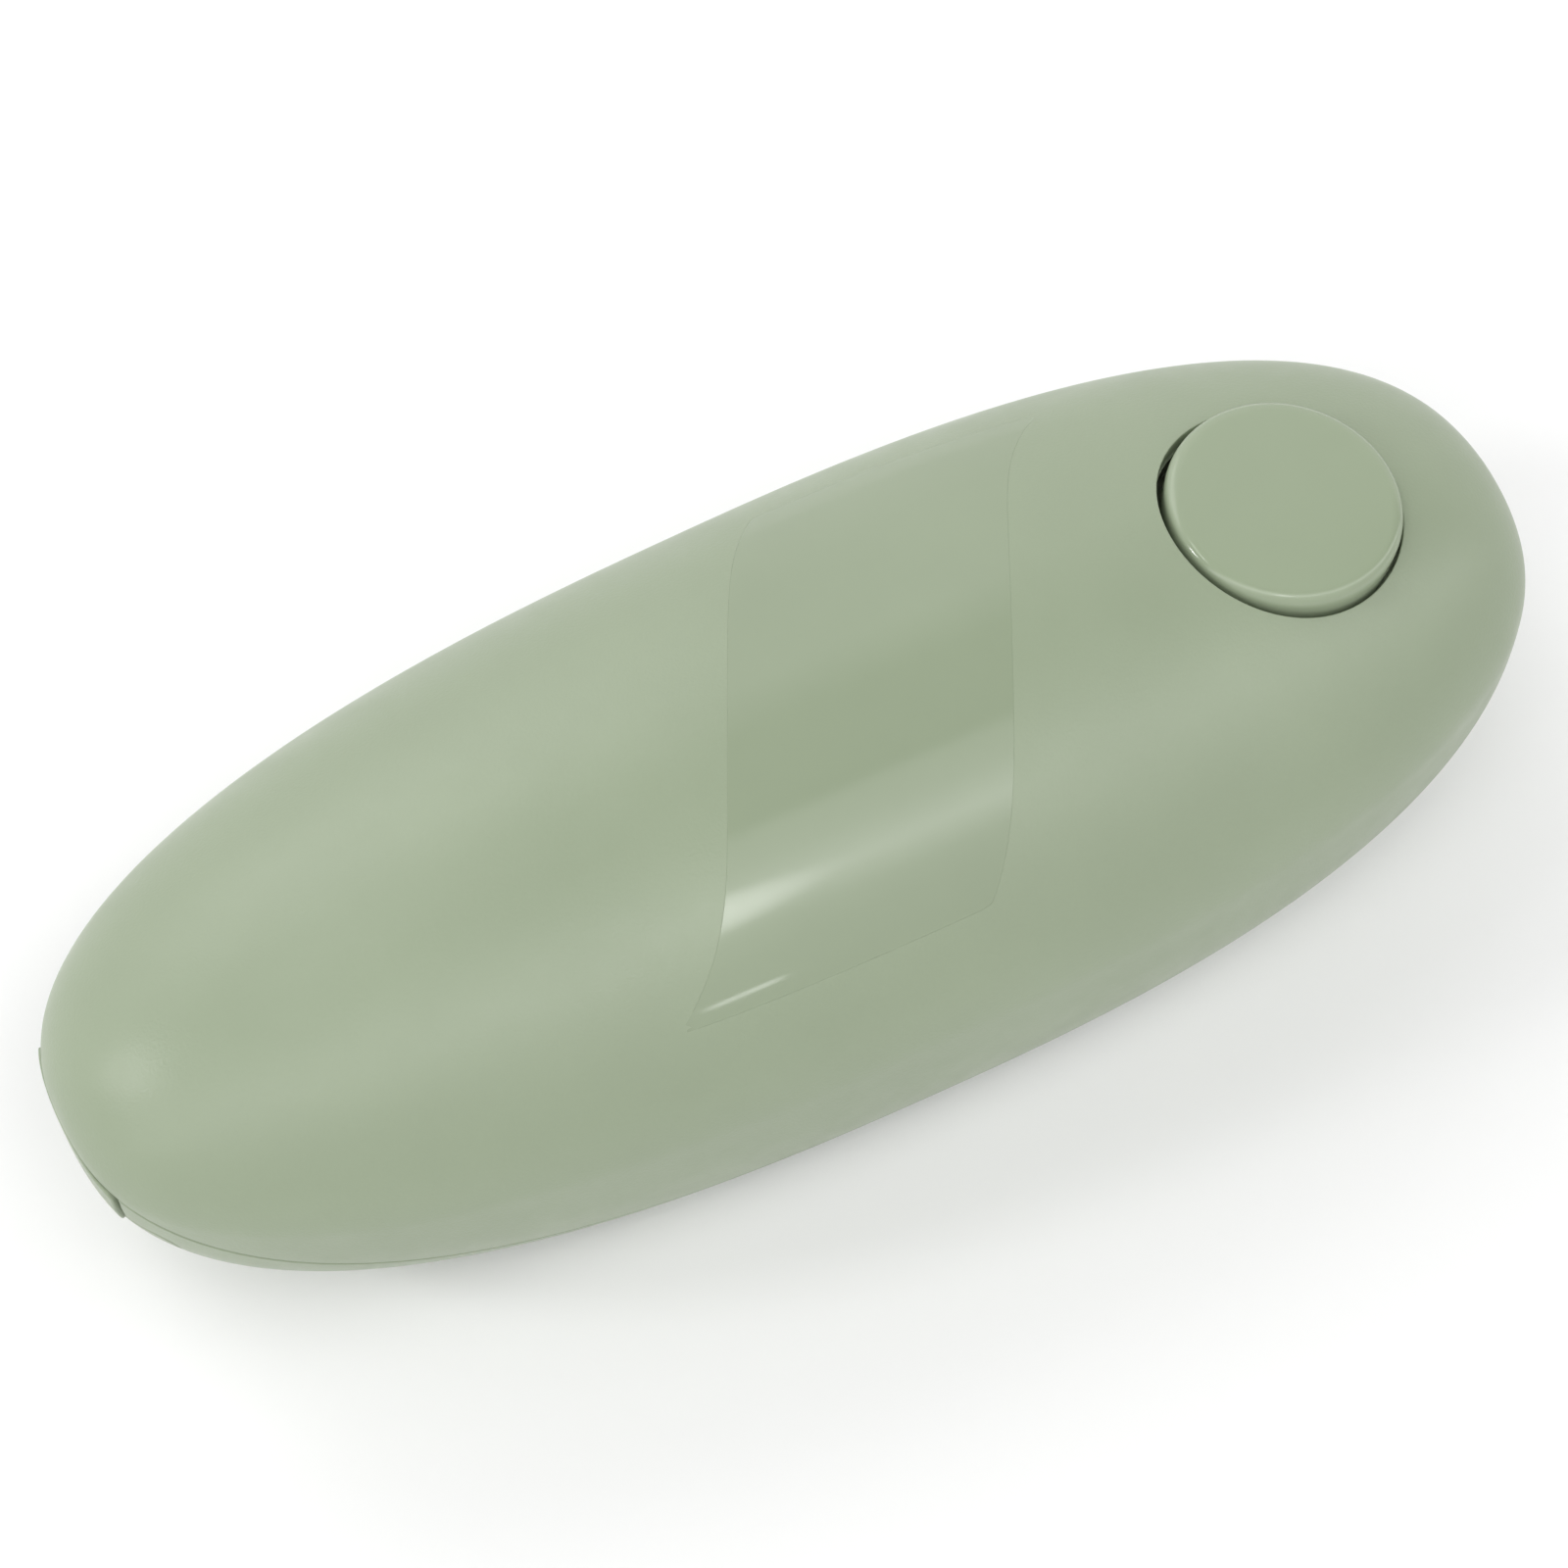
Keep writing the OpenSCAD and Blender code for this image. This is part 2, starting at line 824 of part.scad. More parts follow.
// Shaft with a three-slot armature and its commutator
module motor_rotor() {
    low = upper_plate_z + plate_t + 5.5;
    color([0.6, 0.45, 0.3])
        at_xy(motor_at, 0) {
            translate([0, 0, level_z[0] - 0.4])
                cylinder(r = motor_shaft_r, h = motor_top - level_z[0]);
            translate([0, 0, low])
                difference() {
                    cylinder(r = rotor_r, h = rotor_h);
                    for (a = [0:120:240])
                        rotate(a)
                            translate([rotor_core_r, -rotor_slot_w / 2, -1])
                                cube([rotor_r, rotor_slot_w, rotor_h + 2]);
                }
            translate([0, 0, low + rotor_h])
                cylinder(r = commutator_r, h = commutator_h);
        }
}

// ---------- gears ----------

function inv_angle(a) = tan(a) * 180 / PI - a;

// One gear's outline with involute flanks, its first tooth on +X
module gear_outline(teeth, m) {
    r = pitch_r(teeth, m);
    base_r = r * cos(pressure_angle);
    root_r = r - dedendum * m;
    tip_r = r + addendum * m;
    half_tooth = 90 / teeth * tooth_thin;
    flank_steps = 4;
    low_r = max(base_r, root_r);
    flank = [
        for (i = [0:flank_steps])
            let (rho = low_r + (tip_r - low_r) * i / flank_steps)
            [rho, half_tooth + inv_angle(pressure_angle) - inv_angle(acos(min(1, base_r / rho)))]
    ];
    flank_n = len(flank);
    tooth = concat(
        [[root_r, -flank[0][1]]],
        [for (p = flank) [p[0], -p[1]]],
        [for (i = [1:flank_n]) flank[flank_n - i]],
        [[root_r, flank[0][1]]]
    );
    polygon([
        for (t = [0:teeth - 1], p = tooth)
            p[0] * [cos(p[1] + 360 * t / teeth), sin(p[1] + 360 * t / teeth)]
    ]);
}

// Angle at which a wheel shows a gap to a small gear whose tooth points at it along leg i
function wheel_phase(i) = leg[i] + 180 + 180 / wheel_teeth[i];

module gear_disc(teeth, m, h, angle) {
    rotate(angle)
        linear_extrude(height = h)
            gear_outline(teeth, m);
}

module motor_pinion() {
    color([0.8, 0.68, 0.35])
        at_xy(motor_at, level_z[0] - 0.2)
            difference() {
                gear_disc(pinion_teeth, gear_module[0], gear_t + 0.2, leg[0]);
                translate([0, 0, -1])
                    cylinder(r = motor_shaft_r, h = 8);
            }
}

// Wheel with the next stage's small gear moulded under it
module compound_gear(i) {
    low = level_z[i + 1] - 0.1;
    difference() {
        union() {
            translate([0, 0, level_z[i]])
                gear_disc(wheel_teeth[i], gear_module[i], gear_t, wheel_phase(i));
            translate([0, 0, low])
                gear_disc(pinion_teeth, gear_module[i + 1], level_z[i] - low + eps, leg[i + 1]);
        }
        cylinder(r = axle_r[i] + run_fit, h = far);
    }
}

module reduction_gear_1() {
    color(nylon)
        at_xy(gear_1_at, 0)
            compound_gear(0);
}

module reduction_gear_2() {
    color(nylon)
        at_xy(gear_2_at, 0)
            compound_gear(1);
}

module output_gear() {
    color(steel)
        at_xy(output_at, level_z[2])
            difference() {
                union() {
                    gear_disc(wheel_teeth[2], gear_module[2], gear_t, wheel_phase(2));
                    cylinder(r = output_hub_r, h = level_z[1] - level_gap - level_z[2]);
                }
                translate([0, 0, -1])
                    cylinder(r = output_r, h = 10);
            }
}

module gear_axles() {
    ends = [gear_1_at, gear_2_at];
    color(steel)
        for (i = [0, 1])
            at_xy(ends[i], lower_plate_z)
                cylinder(r = axle_r[i], h = upper_plate_z - lower_plate_z + plate_t);
}

module output_shaft() {
    color(steel)
        at_xy(output_at, wheel_z)
            cylinder(r = output_r, h = upper_plate_z + plate_t + 2.4 - wheel_z);
}

module shaft_clip() {
    color(steel)
        at_xy(output_at, upper_plate_z + plate_t + 0.9)
            ring(4.6, output_r, 0.8);
}

// Bush pressed into a plate, from the face its flange bears on
module flanged_bush(r_in, r_out, flange_r) {
    difference() {
        union() {
            cylinder(r = r_out, h = plate_t + level_gap);
            translate([0, 0, -bush_flange_t])
                cylinder(r = flange_r, h = bush_flange_t);
        }
        translate([0, 0, -bush_flange_t - 1])
            cylinder(r = r_in, h = plate_t + 3);
    }
}

module shaft_bushes() {
    color([0.72, 0.55, 0.3]) {
        at_xy(output_at, lower_plate_z)
            flanged_bush(output_r + run_fit, bush_r[0], bush_flange_r[0]);
        at_xy(output_at, upper_plate_z + plate_t)
            mirror([0, 0, 1])
                flanged_bush(output_r + run_fit, bush_r[0], bush_flange_r[0]);
    }
}

module cam_bush() {
    color([0.72, 0.55, 0.3])
        at_xy(cam_at, lower_plate_z)
            flanged_bush(cam_shaft_r + run_fit, bush_r[1], bush_flange_r[1]);
}

module plate_holes(z) {
    for (at = pillar_at)
        at_xy(at, z - 1)
            cylinder(r = pillar_bore, h = plate_t + 2);
    at_xy(gear_1_at, z - 1)
        cylinder(r = axle_r[0], h = plate_t + 2);
    at_xy(gear_2_at, z - 1)
        cylinder(r = axle_r[1], h = plate_t + 2);
    at_xy(output_at, z - 1)
        cylinder(r = bush_r[0], h = plate_t + 2);
}

module lower_gear_plate() {
    color(steel)
        difference() {
            translate([0, 0, lower_plate_z])
                linear_extrude(height = plate_t)
                    plate_outline();
            plate_holes(lower_plate_z);
            at_xy(cam_at, lower_plate_z - 1)
                cylinder(r = bush_r[1], h = plate_t + 2);
        }
}

// Plate with cut corners, narrower towards the head where the casing closes in
module plate_outline() {
    half = plate_half_w;
    flank_x = drive_x - 6;
    head_x = drive_x + 20;
    polygon([
        [plate_tail, -14], [plate_tail + 6, 3 - half], [flank_x, 0.5 - half],
        [head_x - 6, -17.5], [head_x, -9], [head_x, 9], [head_x - 1, 15.5], [head_x - 8, 17],
        [flank_x, half - 0.5], [plate_tail + 6, half - 3], [plate_tail, 14]
    ]);
}

module upper_gear_plate() {
    color(steel)
        difference() {
            translate([0, 0, upper_plate_z])
                linear_extrude(height = plate_t)
                    plate_outline();
            plate_holes(upper_plate_z);
            at_xy(motor_at, upper_plate_z - 1)
                cylinder(r = motor_boss_r + run_fit, h = plate_t + 2);
        }
}

module plate_pillars() {
    low = lower_plate_z + plate_t;
    color([0.8, 0.68, 0.35])
        for (at = pillar_at)
            at_xy(at, low)
                ring(pillar_r, pillar_bore, upper_plate_z - low);
}

module plate_screws() {
    head_h = 1.4;
    low = deck_z + 1;
    color(steel)
        for (at = pillar_at)
            at_xy(at, upper_plate_z + plate_t + head_h)
                rotate([180, 0, 0])
                    screw(pillar_screw_r, upper_plate_z + plate_t - low, 2.3, head_h);
}

// ---------- cutting head ----------

module base_plate() {
    color([0.8, 0.81, 0.82])
        translate([0, 0, base_z])
            linear_extrude(height = base_t)
                difference() {
                    base_outline();
                    translate(output_at)
                        circle(r = output_r + 2.2);
                    translate(cam_at)
                        circle(r = cam_shaft_r + 1.4);
                    for (at = base_screw_at)
                        translate(at)
                            circle(r = base_screw_r + screw_slack);
                }
}

// Wear plate's outline round the drive wheel and the arm's pivot
module base_outline() {
    tail_x = drive_x - 10;
    head_x = drive_x + 21;
    polygon([[tail_x, -19], [head_x - 3, -16], [head_x, -12], [head_x, 14], [head_x - 3, 18], [tail_x, 19]]);
}

module base_plate_screws() {
    color(steel)
        for (at = base_screw_at)
            at_xy(at, base_z - 1)
                screw(base_screw_r, 2.4, 2.2, 1);
}

module drive_wheel() {
    teeth = 24;
    root = drive_r - 0.6;
    color(steel)
        at_xy(output_at, wheel_z)
            difference() {
                union() {
                    linear_extrude(height = drive_t)
                        polygon([
                            for (i = [0:2 * teeth - 1])
                                let (r = i % 2 == 0 ? drive_r : root, a = 180 * i / teeth)
                                r * [cos(a), sin(a)]
                        ]);
                    cylinder(r = 4, h = drive_t + 0.6);
                }
                translate([0, 0, -1])
                    cylinder(r = output_r, h = 9);
            }
}

// Two discs joined by the straight band that touches both
module link_outline(r1, r2, dist) {
    a = acos((r1 - r2) / dist);
    circle(r = r1);
    translate([dist, 0])
        circle(r = r2);
    polygon([
        r1 * [cos(a), sin(a)],
        r1 * [cos(a), -sin(a)],
        [dist, 0] + r2 * [cos(a), -sin(a)],
        [dist, 0] + r2 * [cos(a), sin(a)]
    ]);
}

// Arm that carries the cutting wheel, with its pivot shaft up into the gearbox
module cutter_cam() {
    color([0.5, 0.51, 0.53])
        at_xy(cam_at, cam_z) {
            rotate(cam_angle)
                difference() {
                    linear_extrude(height = cam_t)
                        link_outline(5.5, 4.2, cam_len);
                    translate([cam_len, 0, -1])
                        cylinder(r = cutter_pin_r, h = cam_t + 2);
                }
            cylinder(r = cam_shaft_r, h = upper_plate_z - 0.6 - cam_z);
        }
}

module cutter_wheel() {
    hub_r = 3.6;
    color(steel)
        at_xy(cutter_open, cutter_z)
            rotate_extrude($fn = 96)
                polygon([
                    [cutter_pin_r + run_fit, -cutter_t / 2], [hub_r, -cutter_t / 2], [cutter_r - 2.2, -0.5],
                    [cutter_r, 0], [cutter_r - 2.2, 0.5], [hub_r, cutter_t / 2],
                    [hub_r, cam_z - cutter_z - 0.1], [cutter_pin_r + run_fit, cam_z - cutter_z - 0.1]
                ]);
}

module cutter_screw() {
    head_h = 1;
    color(steel)
        at_xy(cutter_open, cutter_screw_z)
            screw(cutter_pin_r, cam_z + cam_t - cutter_screw_z - head_h, 3.2, head_h);
}

module lid_magnet() {
    color([0.75, 0.75, 0.77])
        at_xy(magnet_at, magnet_z)
            cylinder(r = magnet_r, h = magnet_h);
}

module magnet_holder() {
    color([0.2, 0.2, 0.21])
        at_xy(magnet_at, 0) {
            difference() {
                translate([0, 0, magnet_z + 0.6])
                    cylinder(r = holder_r, h = deck_z - magnet_z - 0.6);
                translate([0, 0, 1])
                    cylinder(r = magnet_r, h = magnet_z + magnet_h - 1);
            }
            translate([0, 0, deck_z - eps])
                cylinder(r = magnet_pin_r, h = lower_plate_z - deck_z);
        }
}

top_shell();
gloss_band();
bottom_shell();
battery_door();
rubber_feet();
housing_screws();
start_button();
button_spring();
switch_body();
switch_lever();
circuit_board();
board_screws();
battery_tray();
battery_cells();
contact_springs();
contact_plates();
motor_leads();
motor_can();
motor_end_cap();
motor_magnets();
motor_rotor();
motor_pinion();
reduction_gear_1();
reduction_gear_2();
output_gear();
output_shaft();
drive_wheel();
shaft_clip();
shaft_bushes();
gear_axles();
lower_gear_plate();
upper_gear_plate();
plate_pillars();
plate_screws();
base_plate();
base_plate_screws();
cutter_cam();
cutter_wheel();
cutter_screw();
cam_bush();
lid_magnet();
magnet_holder();
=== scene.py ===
import json
from math import cos, pi, radians, sin

import bpy
import numpy as np
from mathutils import Matrix, Vector


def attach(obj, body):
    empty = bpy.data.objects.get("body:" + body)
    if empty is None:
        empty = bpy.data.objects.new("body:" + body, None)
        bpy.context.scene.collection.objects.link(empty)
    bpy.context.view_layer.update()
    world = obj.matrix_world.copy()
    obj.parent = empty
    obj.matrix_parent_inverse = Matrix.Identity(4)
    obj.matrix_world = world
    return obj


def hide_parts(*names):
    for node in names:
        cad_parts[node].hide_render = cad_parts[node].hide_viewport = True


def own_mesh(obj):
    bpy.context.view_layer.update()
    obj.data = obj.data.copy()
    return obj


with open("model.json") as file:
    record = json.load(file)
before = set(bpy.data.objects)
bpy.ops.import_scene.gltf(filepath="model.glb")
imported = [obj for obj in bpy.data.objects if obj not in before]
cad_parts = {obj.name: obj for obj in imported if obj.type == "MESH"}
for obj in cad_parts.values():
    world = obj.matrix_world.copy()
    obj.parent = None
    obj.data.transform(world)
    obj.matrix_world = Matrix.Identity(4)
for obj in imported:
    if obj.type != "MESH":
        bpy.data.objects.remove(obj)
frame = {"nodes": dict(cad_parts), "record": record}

# ---------------------------------------------------------------- sizes, in millimetres

MM = 0.001

# Casing form, as in the CAD source; the width is a hair less, to stay inside the faceted form
HALF_LEN = 93.0
HALF_W = 35.99
DOME_H = 22.69
KEEL_H = 34.5
EQ_Z = 33.5
EGG = 0.058
WALL = 2.2
PLAN_POWER = 2.516
SIDE_POWER = 2.374
DOME_POWER = 1.9
KEEL_POWER = 3.0
SEAM_DIP = 19.0
SEAM_RISE = 1.0
SEAM_POWER = 3
SEAM_GAP = 0.3

# Underside: a flat under the battery bay, then a step up to the deck over the can
FLOOR_Z = 0.8
DECK_Z = 7.0
DECK_START = -28.0
DECK_RAMP = 5.0
UNDERSIDE_BLEND = 0.9

# Glossy band
BAND_X = 9.0
BAND_W = 36.0
BAND_SLANT = 0.5
BAND_T = 1.0
BAND_LOW = 13.3
BAND_HALF_Y = 28.5
BAND_SWEEP = (3.0, 8.5)
BAND_SWEEP_POWER = 6
BAND_CORNER = 0.6
BAND_FLOOR_LAP = 0.4
BAND_FIT = 0.03

# Battery door and its lip over the tail
DOOR_HALF_W = 15.5
DOOR_END_X = -20.0
DOOR_TOP_Z = 27.5
DOOR_GAP = 0.35
DOOR_CORNER = 2.0
LIP_HALF_W = 10.5
LIP_LOW_Z = 26.5
LIP_END_X = -82.0
LIP_SPREAD = 1.12
LIP_CORNER = 0.5
LIP_EDGE_R = 0.25

# Start button, measured down its own axis
BUTTON_X = 63.2
BUTTON_TILT = radians(7.1)
CAP_PROUD = 0.4
CAP_R = 14.1
CAP_H = 3.4
CAP_SKIRT = 1.8
CAP_WALL = 1.6
CAP_EDGE_R = 1.625
CAP_GAP = 0.65
WELL_SHIFT = 0.35
HOLE_EDGE_R = 0.12
HOLE_EDGE_REACH = 1.0
STEM_R = 3.5
STEM_GAP = 0.8
STEM_END = 14.3
NUB_R = 1.0
NUB_L = 1.2
WELL_FLOOR = 8.3
WELL_WALL = 1.2
SPRING_R = 5.2
SPRING_WIRE_R = 0.4
SPRING_TURNS = 3
SPRING_CLEAR = 0.02

# Cutting head, feet, fence and screws
DRIVE_AT = (46.0, 0.0)
DRIVE_R = 6.5
DRIVE_Z = 2.9
DRIVE_T = 2.3
DRIVE_TEETH = 24
DRIVE_TOOTH_H = 0.6
DRIVE_TOOTH_PHASES = (-0.07, 0.07, 0.43, 0.57)
DRIVE_CHAMFER = 0.25
DRIVE_HUB_R = 4.0
DRIVE_HUB_H = 0.6
DRIVE_HUB_LAP = 0.2
DRIVE_HUB_EDGE_R = 0.15
CUTTER_AT = (65.1, 0.0)
CUTTER_R = 8.0
CUTTER_Z = 2.2
CUTTER_T = 1.6
CUTTER_HUB_R = 3.6
CUTTER_PIN_R = 2.05
CUTTER_BEVEL_W = 2.2
CUTTER_BEVEL_HALF_T = 0.5
CUTTER_EDGE = 0.03
CUTTER_CAM_GAP = 0.1
CAM_AT = (62.0, 10.0)
CAM_Z = 4.6
HEAD_HOLES = ((DRIVE_AT, 5.2), (CAM_AT, 6.0))
HOLE_TOP_Z = 15.0
FENCE_AT = (58.0, 0.0)
FENCE_R = 23.2
FENCE_T = 4.4
FENCE_HALF_ANGLE = radians(30)
FENCE_LOW_Z = 0.5
FENCE_TOP_Z = 12.0
FENCE_EDGE_R = 0.8
FENCE_STEPS = 40
FENCE_END_STEPS = 12
FENCE_EDGE_STEPS = 6
TAIL_FOOT = (-37.0, 19.5)
FOOT_R = 3.0
FOOT_H = 3.4
FENCE_FOOT_ANGLE = radians(20)
FENCE_FOOT_R = 1.5
FENCE_FOOT_H = 2.4
FOOT_EDGE_R = 0.45
FOOT_TOP_R = 0.1
FOOT_GAP = 0.1
SCREW_AT = ((-50.0, 22.5), (-50.0, -22.5), (24.0, 26.5), (24.0, -26.5))
SCREW_SEAT_TAIL = 11.0
SCREW_SEAT_HEAD = 9.2
SCREW_SEAT_T = 1.2
SCREW_WELL_R = 3.0
SCREW_WELL_WALL = 1.0
SCREW_HOLE_R = 1.6
SCREW_MOUTH_GAP = 0.1
RIB_X = (-62.0, -58.5, -55.0, -51.5, -48.0)
RIB_HALF_L = 7.0
RIB_R = 0.6
RIB_PROUD = 0.45
RIB_STEPS = 16
RIB_SIDES = 16
RIB_END_SHARE = 0.05
RIB_END_POWER = 0.3

# Mesh
EDGE_R = 0.25
EDGE_STEPS = 4
BAND_EDGE_R = 0.03
BAND_EDGE_REACH = 1.0
FLOOR_EDGE_R = 0.02
MITRE_LEAST = 0.7
SLOPE_LEAST = 0.15
SNAP = 0.15
FIELD_STEP = 0.002
RINGS, SIDES = ((240, 208))
TURNS = 144
SMALL_TURNS = 48
COIL_STEPS = 40
COIL_SIDES = 12


# ---------------------------------------------------------------- casing form


def unit(vectors):
    length = np.linalg.norm(vectors, axis=-1, keepdims=True)
    return vectors / np.maximum(length, 1e-12)


def taper(s, power):
    return np.maximum(0, 1 - np.abs(s) ** power) ** (1 / power)


def signed_pow(v, power):
    return np.sign(v) * np.abs(v) ** power


def seam_z(x):
    reach = np.minimum(1, np.abs(x) / HALF_LEN) ** SEAM_POWER
    return EQ_Z + SEAM_RISE - SEAM_DIP * (1 - reach)


def form_point(s, a, spread):
    """Point on the casing at a share s of its half length and an angle a round its section."""
    c, q = np.cos(a), np.sin(a)
    power = np.where(q >= 0, DOME_POWER, KEEL_POWER)
    w = HALF_W * taper(s, PLAN_POWER) * (1 + EGG * s) * spread
    h = np.where(q >= 0, DOME_H, KEEL_H) * taper(s, SIDE_POWER)
    y, z = w * signed_pow(c, 2 / power), EQ_Z + h * signed_pow(q, 2 / power)
    return np.stack([HALF_LEN * s, y, z], -1)


def even_angles(sides):
    """Section angles that space the points evenly round the widest section."""
    fine = np.linspace(0, 2 * pi, 40 * sides + 1)
    section = form_point(np.zeros_like(fine), fine, 1)
    walked = np.concatenate([[0], np.cumsum(np.linalg.norm(np.diff(section, axis=0), axis=1))])
    return np.interp(np.arange(sides) * walked[-1] / sides, walked, fine)


def underside_z(x):
    return np.interp(x, [DECK_START, DECK_START + DECK_RAMP], [FLOOR_Z, DECK_Z])


def lift_to_underside(z, x):
    """The keel's height, blended into the flat underside where it would go below it."""
    low = underside_z(x)
    return 0.5 * (z + low + np.sqrt((z - low) ** 2 + UNDERSIDE_BLEND**2))


def form_grid(spread=1.0):
    """The casing's outer form as points, normals and faces, with one point at each end."""
    s, a = np.meshgrid(-np.cos(pi * np.arange(RINGS + 1) / RINGS), even_angles(SIDES), indexing="ij")
    grid = form_point(s, a, spread)
    grid[..., 2] = lift_to_underside(grid[..., 2], grid[..., 0])
    around = np.roll(grid, -1, axis=1) - np.roll(grid, 1, axis=1)
    normal = unit(np.cross(around, np.gradient(grid, axis=0)))
    pts = np.concatenate([grid[0, :1], grid[1:-1].reshape(-1, 3), grid[-1, :1]])
    nrm = np.concatenate([[[-1, 0, 0]], normal[1:-1].reshape(-1, 3), [[1, 0, 0]]])
    head = len(pts) - 1
    faces = []
    for j in range(SIDES):
        k = (j + 1) % SIDES
        faces.append((0, 1 + k, 1 + j))
        for i in range(RINGS - 2):
            here, there = 1 + i * SIDES, 1 + (i + 1) * SIDES
            faces.append((here + j, here + k, there + k, there + j))
        last = 1 + (RINGS - 2) * SIDES
        faces.append((last + j, last + k, head))
    return pts, nrm, faces


# ---------------------------------------------------------------- regions, positive inside


def all_inside(corner, *parts):
    """Where every part is positive, with the corners rounded off."""
    q = corner - np.stack(parts)
    return corner - np.minimum(q.max(0), 0) - np.linalg.norm(np.maximum(q, 0), axis=0)


def above_seam(p):
    return p[:, 2] - seam_z(p[:, 0]) - SEAM_GAP / 2


def below_seam(p):
    return seam_z(p[:, 0]) - SEAM_GAP / 2 - p[:, 2]


def in_band(p):
    x, y, z = p.T
    turn = (np.abs(y) / BAND_HALF_Y) ** BAND_SWEEP_POWER
    near = y < 0
    head = BAND_W / 2 + BAND_SLANT * y + np.where(near, -BAND_SWEEP[0], BAND_SWEEP[1]) * turn
    tail = -BAND_W / 2 + BAND_SLANT * y + np.where(near, -BAND_SWEEP[1], BAND_SWEEP[0]) * turn
    along = x - BAND_X
    return all_inside(BAND_CORNER, head - along, along - tail, z - EQ_Z - BAND_LOW)


def in_door(p):
    x, y, z = p.T
    return all_inside(DOOR_CORNER, DOOR_END_X - x, DOOR_HALF_W - np.abs(y), DOOR_TOP_Z - z)


def in_lip(p):
    x, y, z = p.T
    under_seam = below_seam(p) - SEAM_GAP / 2
    return all_inside(LIP_CORNER, LIP_END_X - x, LIP_HALF_W - np.abs(y), under_seam, z - LIP_LOW_Z)


def outside(region, gap=0.0):
    return lambda p: -region(p) - gap


def shrunk(region, gap):
    return lambda p: region(p) - gap


def outside_circle(at, r, top_z):
    """Off a round hole in the underside."""
    return lambda p: np.where(p[:, 2] < top_z, np.hypot(p[:, 0] - at[0], p[:, 1] - at[1]) - r, r)


BUTTON_AXIS = np.array([sin(BUTTON_TILT), 0, cos(BUTTON_TILT)])
BUTTON_AT = np.array([BUTTON_X, 0, EQ_Z + DOME_H * taper(BUTTON_X / HALF_LEN, SIDE_POWER) + CAP_PROUD])
WELL_AT = BUTTON_AT - WELL_SHIFT * np.array([cos(BUTTON_TILT), 0, -sin(BUTTON_TILT)])


def off_button(p):
    """Off the round hole of the start button, in the dome."""
    from_top = p - WELL_AT
    radial = from_top - np.outer(from_top @ BUTTON_AXIS, BUTTON_AXIS)
    return np.where(p[:, 2] > EQ_Z, np.linalg.norm(radial, axis=1) - CAP_R - CAP_GAP, CAP_R)


# ---------------------------------------------------------------- trimmed skins


def along_surface(region, pts, nrm):
    """Distance along the skin to the region's edge, and the direction further inside."""
    value = region(pts)
    steps = FIELD_STEP * np.eye(3)
    slope = np.stack([(region(pts + d) - region(pts - d)) / (2 * FIELD_STEP) for d in steps], -1)
    slope -= (slope * nrm).sum(1, keepdims=True) * nrm
    size = np.maximum(np.linalg.norm(slope, axis=1), SLOPE_LEAST)
    return value / size, slope / size[:, None]


def trim(skin, region, inset):
    """Cuts the skin back to inset inside the region's edge."""
    pts, nrm, faces = skin
    value, inward = along_surface(region, pts, nrm)
    value = value - inset
    near = np.abs(value) < SNAP
    pts = np.where(near[:, None], pts - value[:, None] * inward, pts)
    value = np.where(near, 0.0, value)
    added, made, kept = [], {}, []
    for face in faces:
        flags = [value[v] >= 0 for v in face]
        if all(flags):
            kept.append(face)
            continue
        if not any(flags):
            continue
        cut = []
        for a, b in zip(face, face[1:] + face[:1]):
            if value[a] >= 0:
                cut.append(a)
            if value[a] * value[b] < 0:
                key = (min(a, b), max(a, b))
                if key not in made:
                    made[key] = len(pts) + len(added)
                    t = value[a] / (value[a] - value[b])
                    added.append((pts[a] + t * (pts[b] - pts[a]), nrm[a] + t * (nrm[b] - nrm[a])))
                cut.append(made[key])
        if len(cut) >= 3:
            kept.append(tuple(cut))
    if added:
        pts = np.concatenate([pts, [p for p, _ in added]])
        nrm = unit(np.concatenate([nrm, [n for _, n in added]]))
    return compact(pts, nrm, kept)


def compact(pts, nrm, faces):
    """Leaves out the points that no face uses."""
    used = np.unique([v for face in faces for v in face])
    place = np.full(len(pts), -1)
    place[used] = np.arange(len(used))
    return pts[used], nrm[used], [tuple(int(place[v]) for v in face) for face in faces]


def plain_wall(depth):
    """Edge wall straight down through the skin's thickness."""

    def rows(point, normal, out):
        return [(point - depth * normal, out)]

    return rows


def casing_wall(depth):
    """Edge wall of the top casing; round the button it follows the button's axis to the well's floor."""

    def rows(point, normal, out):
        if not near_button(point):
            return [(point - depth * normal, out)]
        height = (point - WELL_AT) @ BUTTON_AXIS
        foot = point - (height + WELL_FLOOR + WELL_WALL) * BUTTON_AXIS
        return [(foot, out), (foot - WELL_WALL * out, -out)]

    return rows


def near_button(point):
    return abs(off_button(point[None])[0]) < HOLE_EDGE_REACH


def edge_radius(point):
    """Rim radius of the casing: nearly sharp where the gloss band fits in flush, soft elsewhere."""
    if abs(in_band(point[None])[0]) < BAND_EDGE_REACH:
        return BAND_EDGE_R
    return HOLE_EDGE_R if near_button(point) else EDGE_R


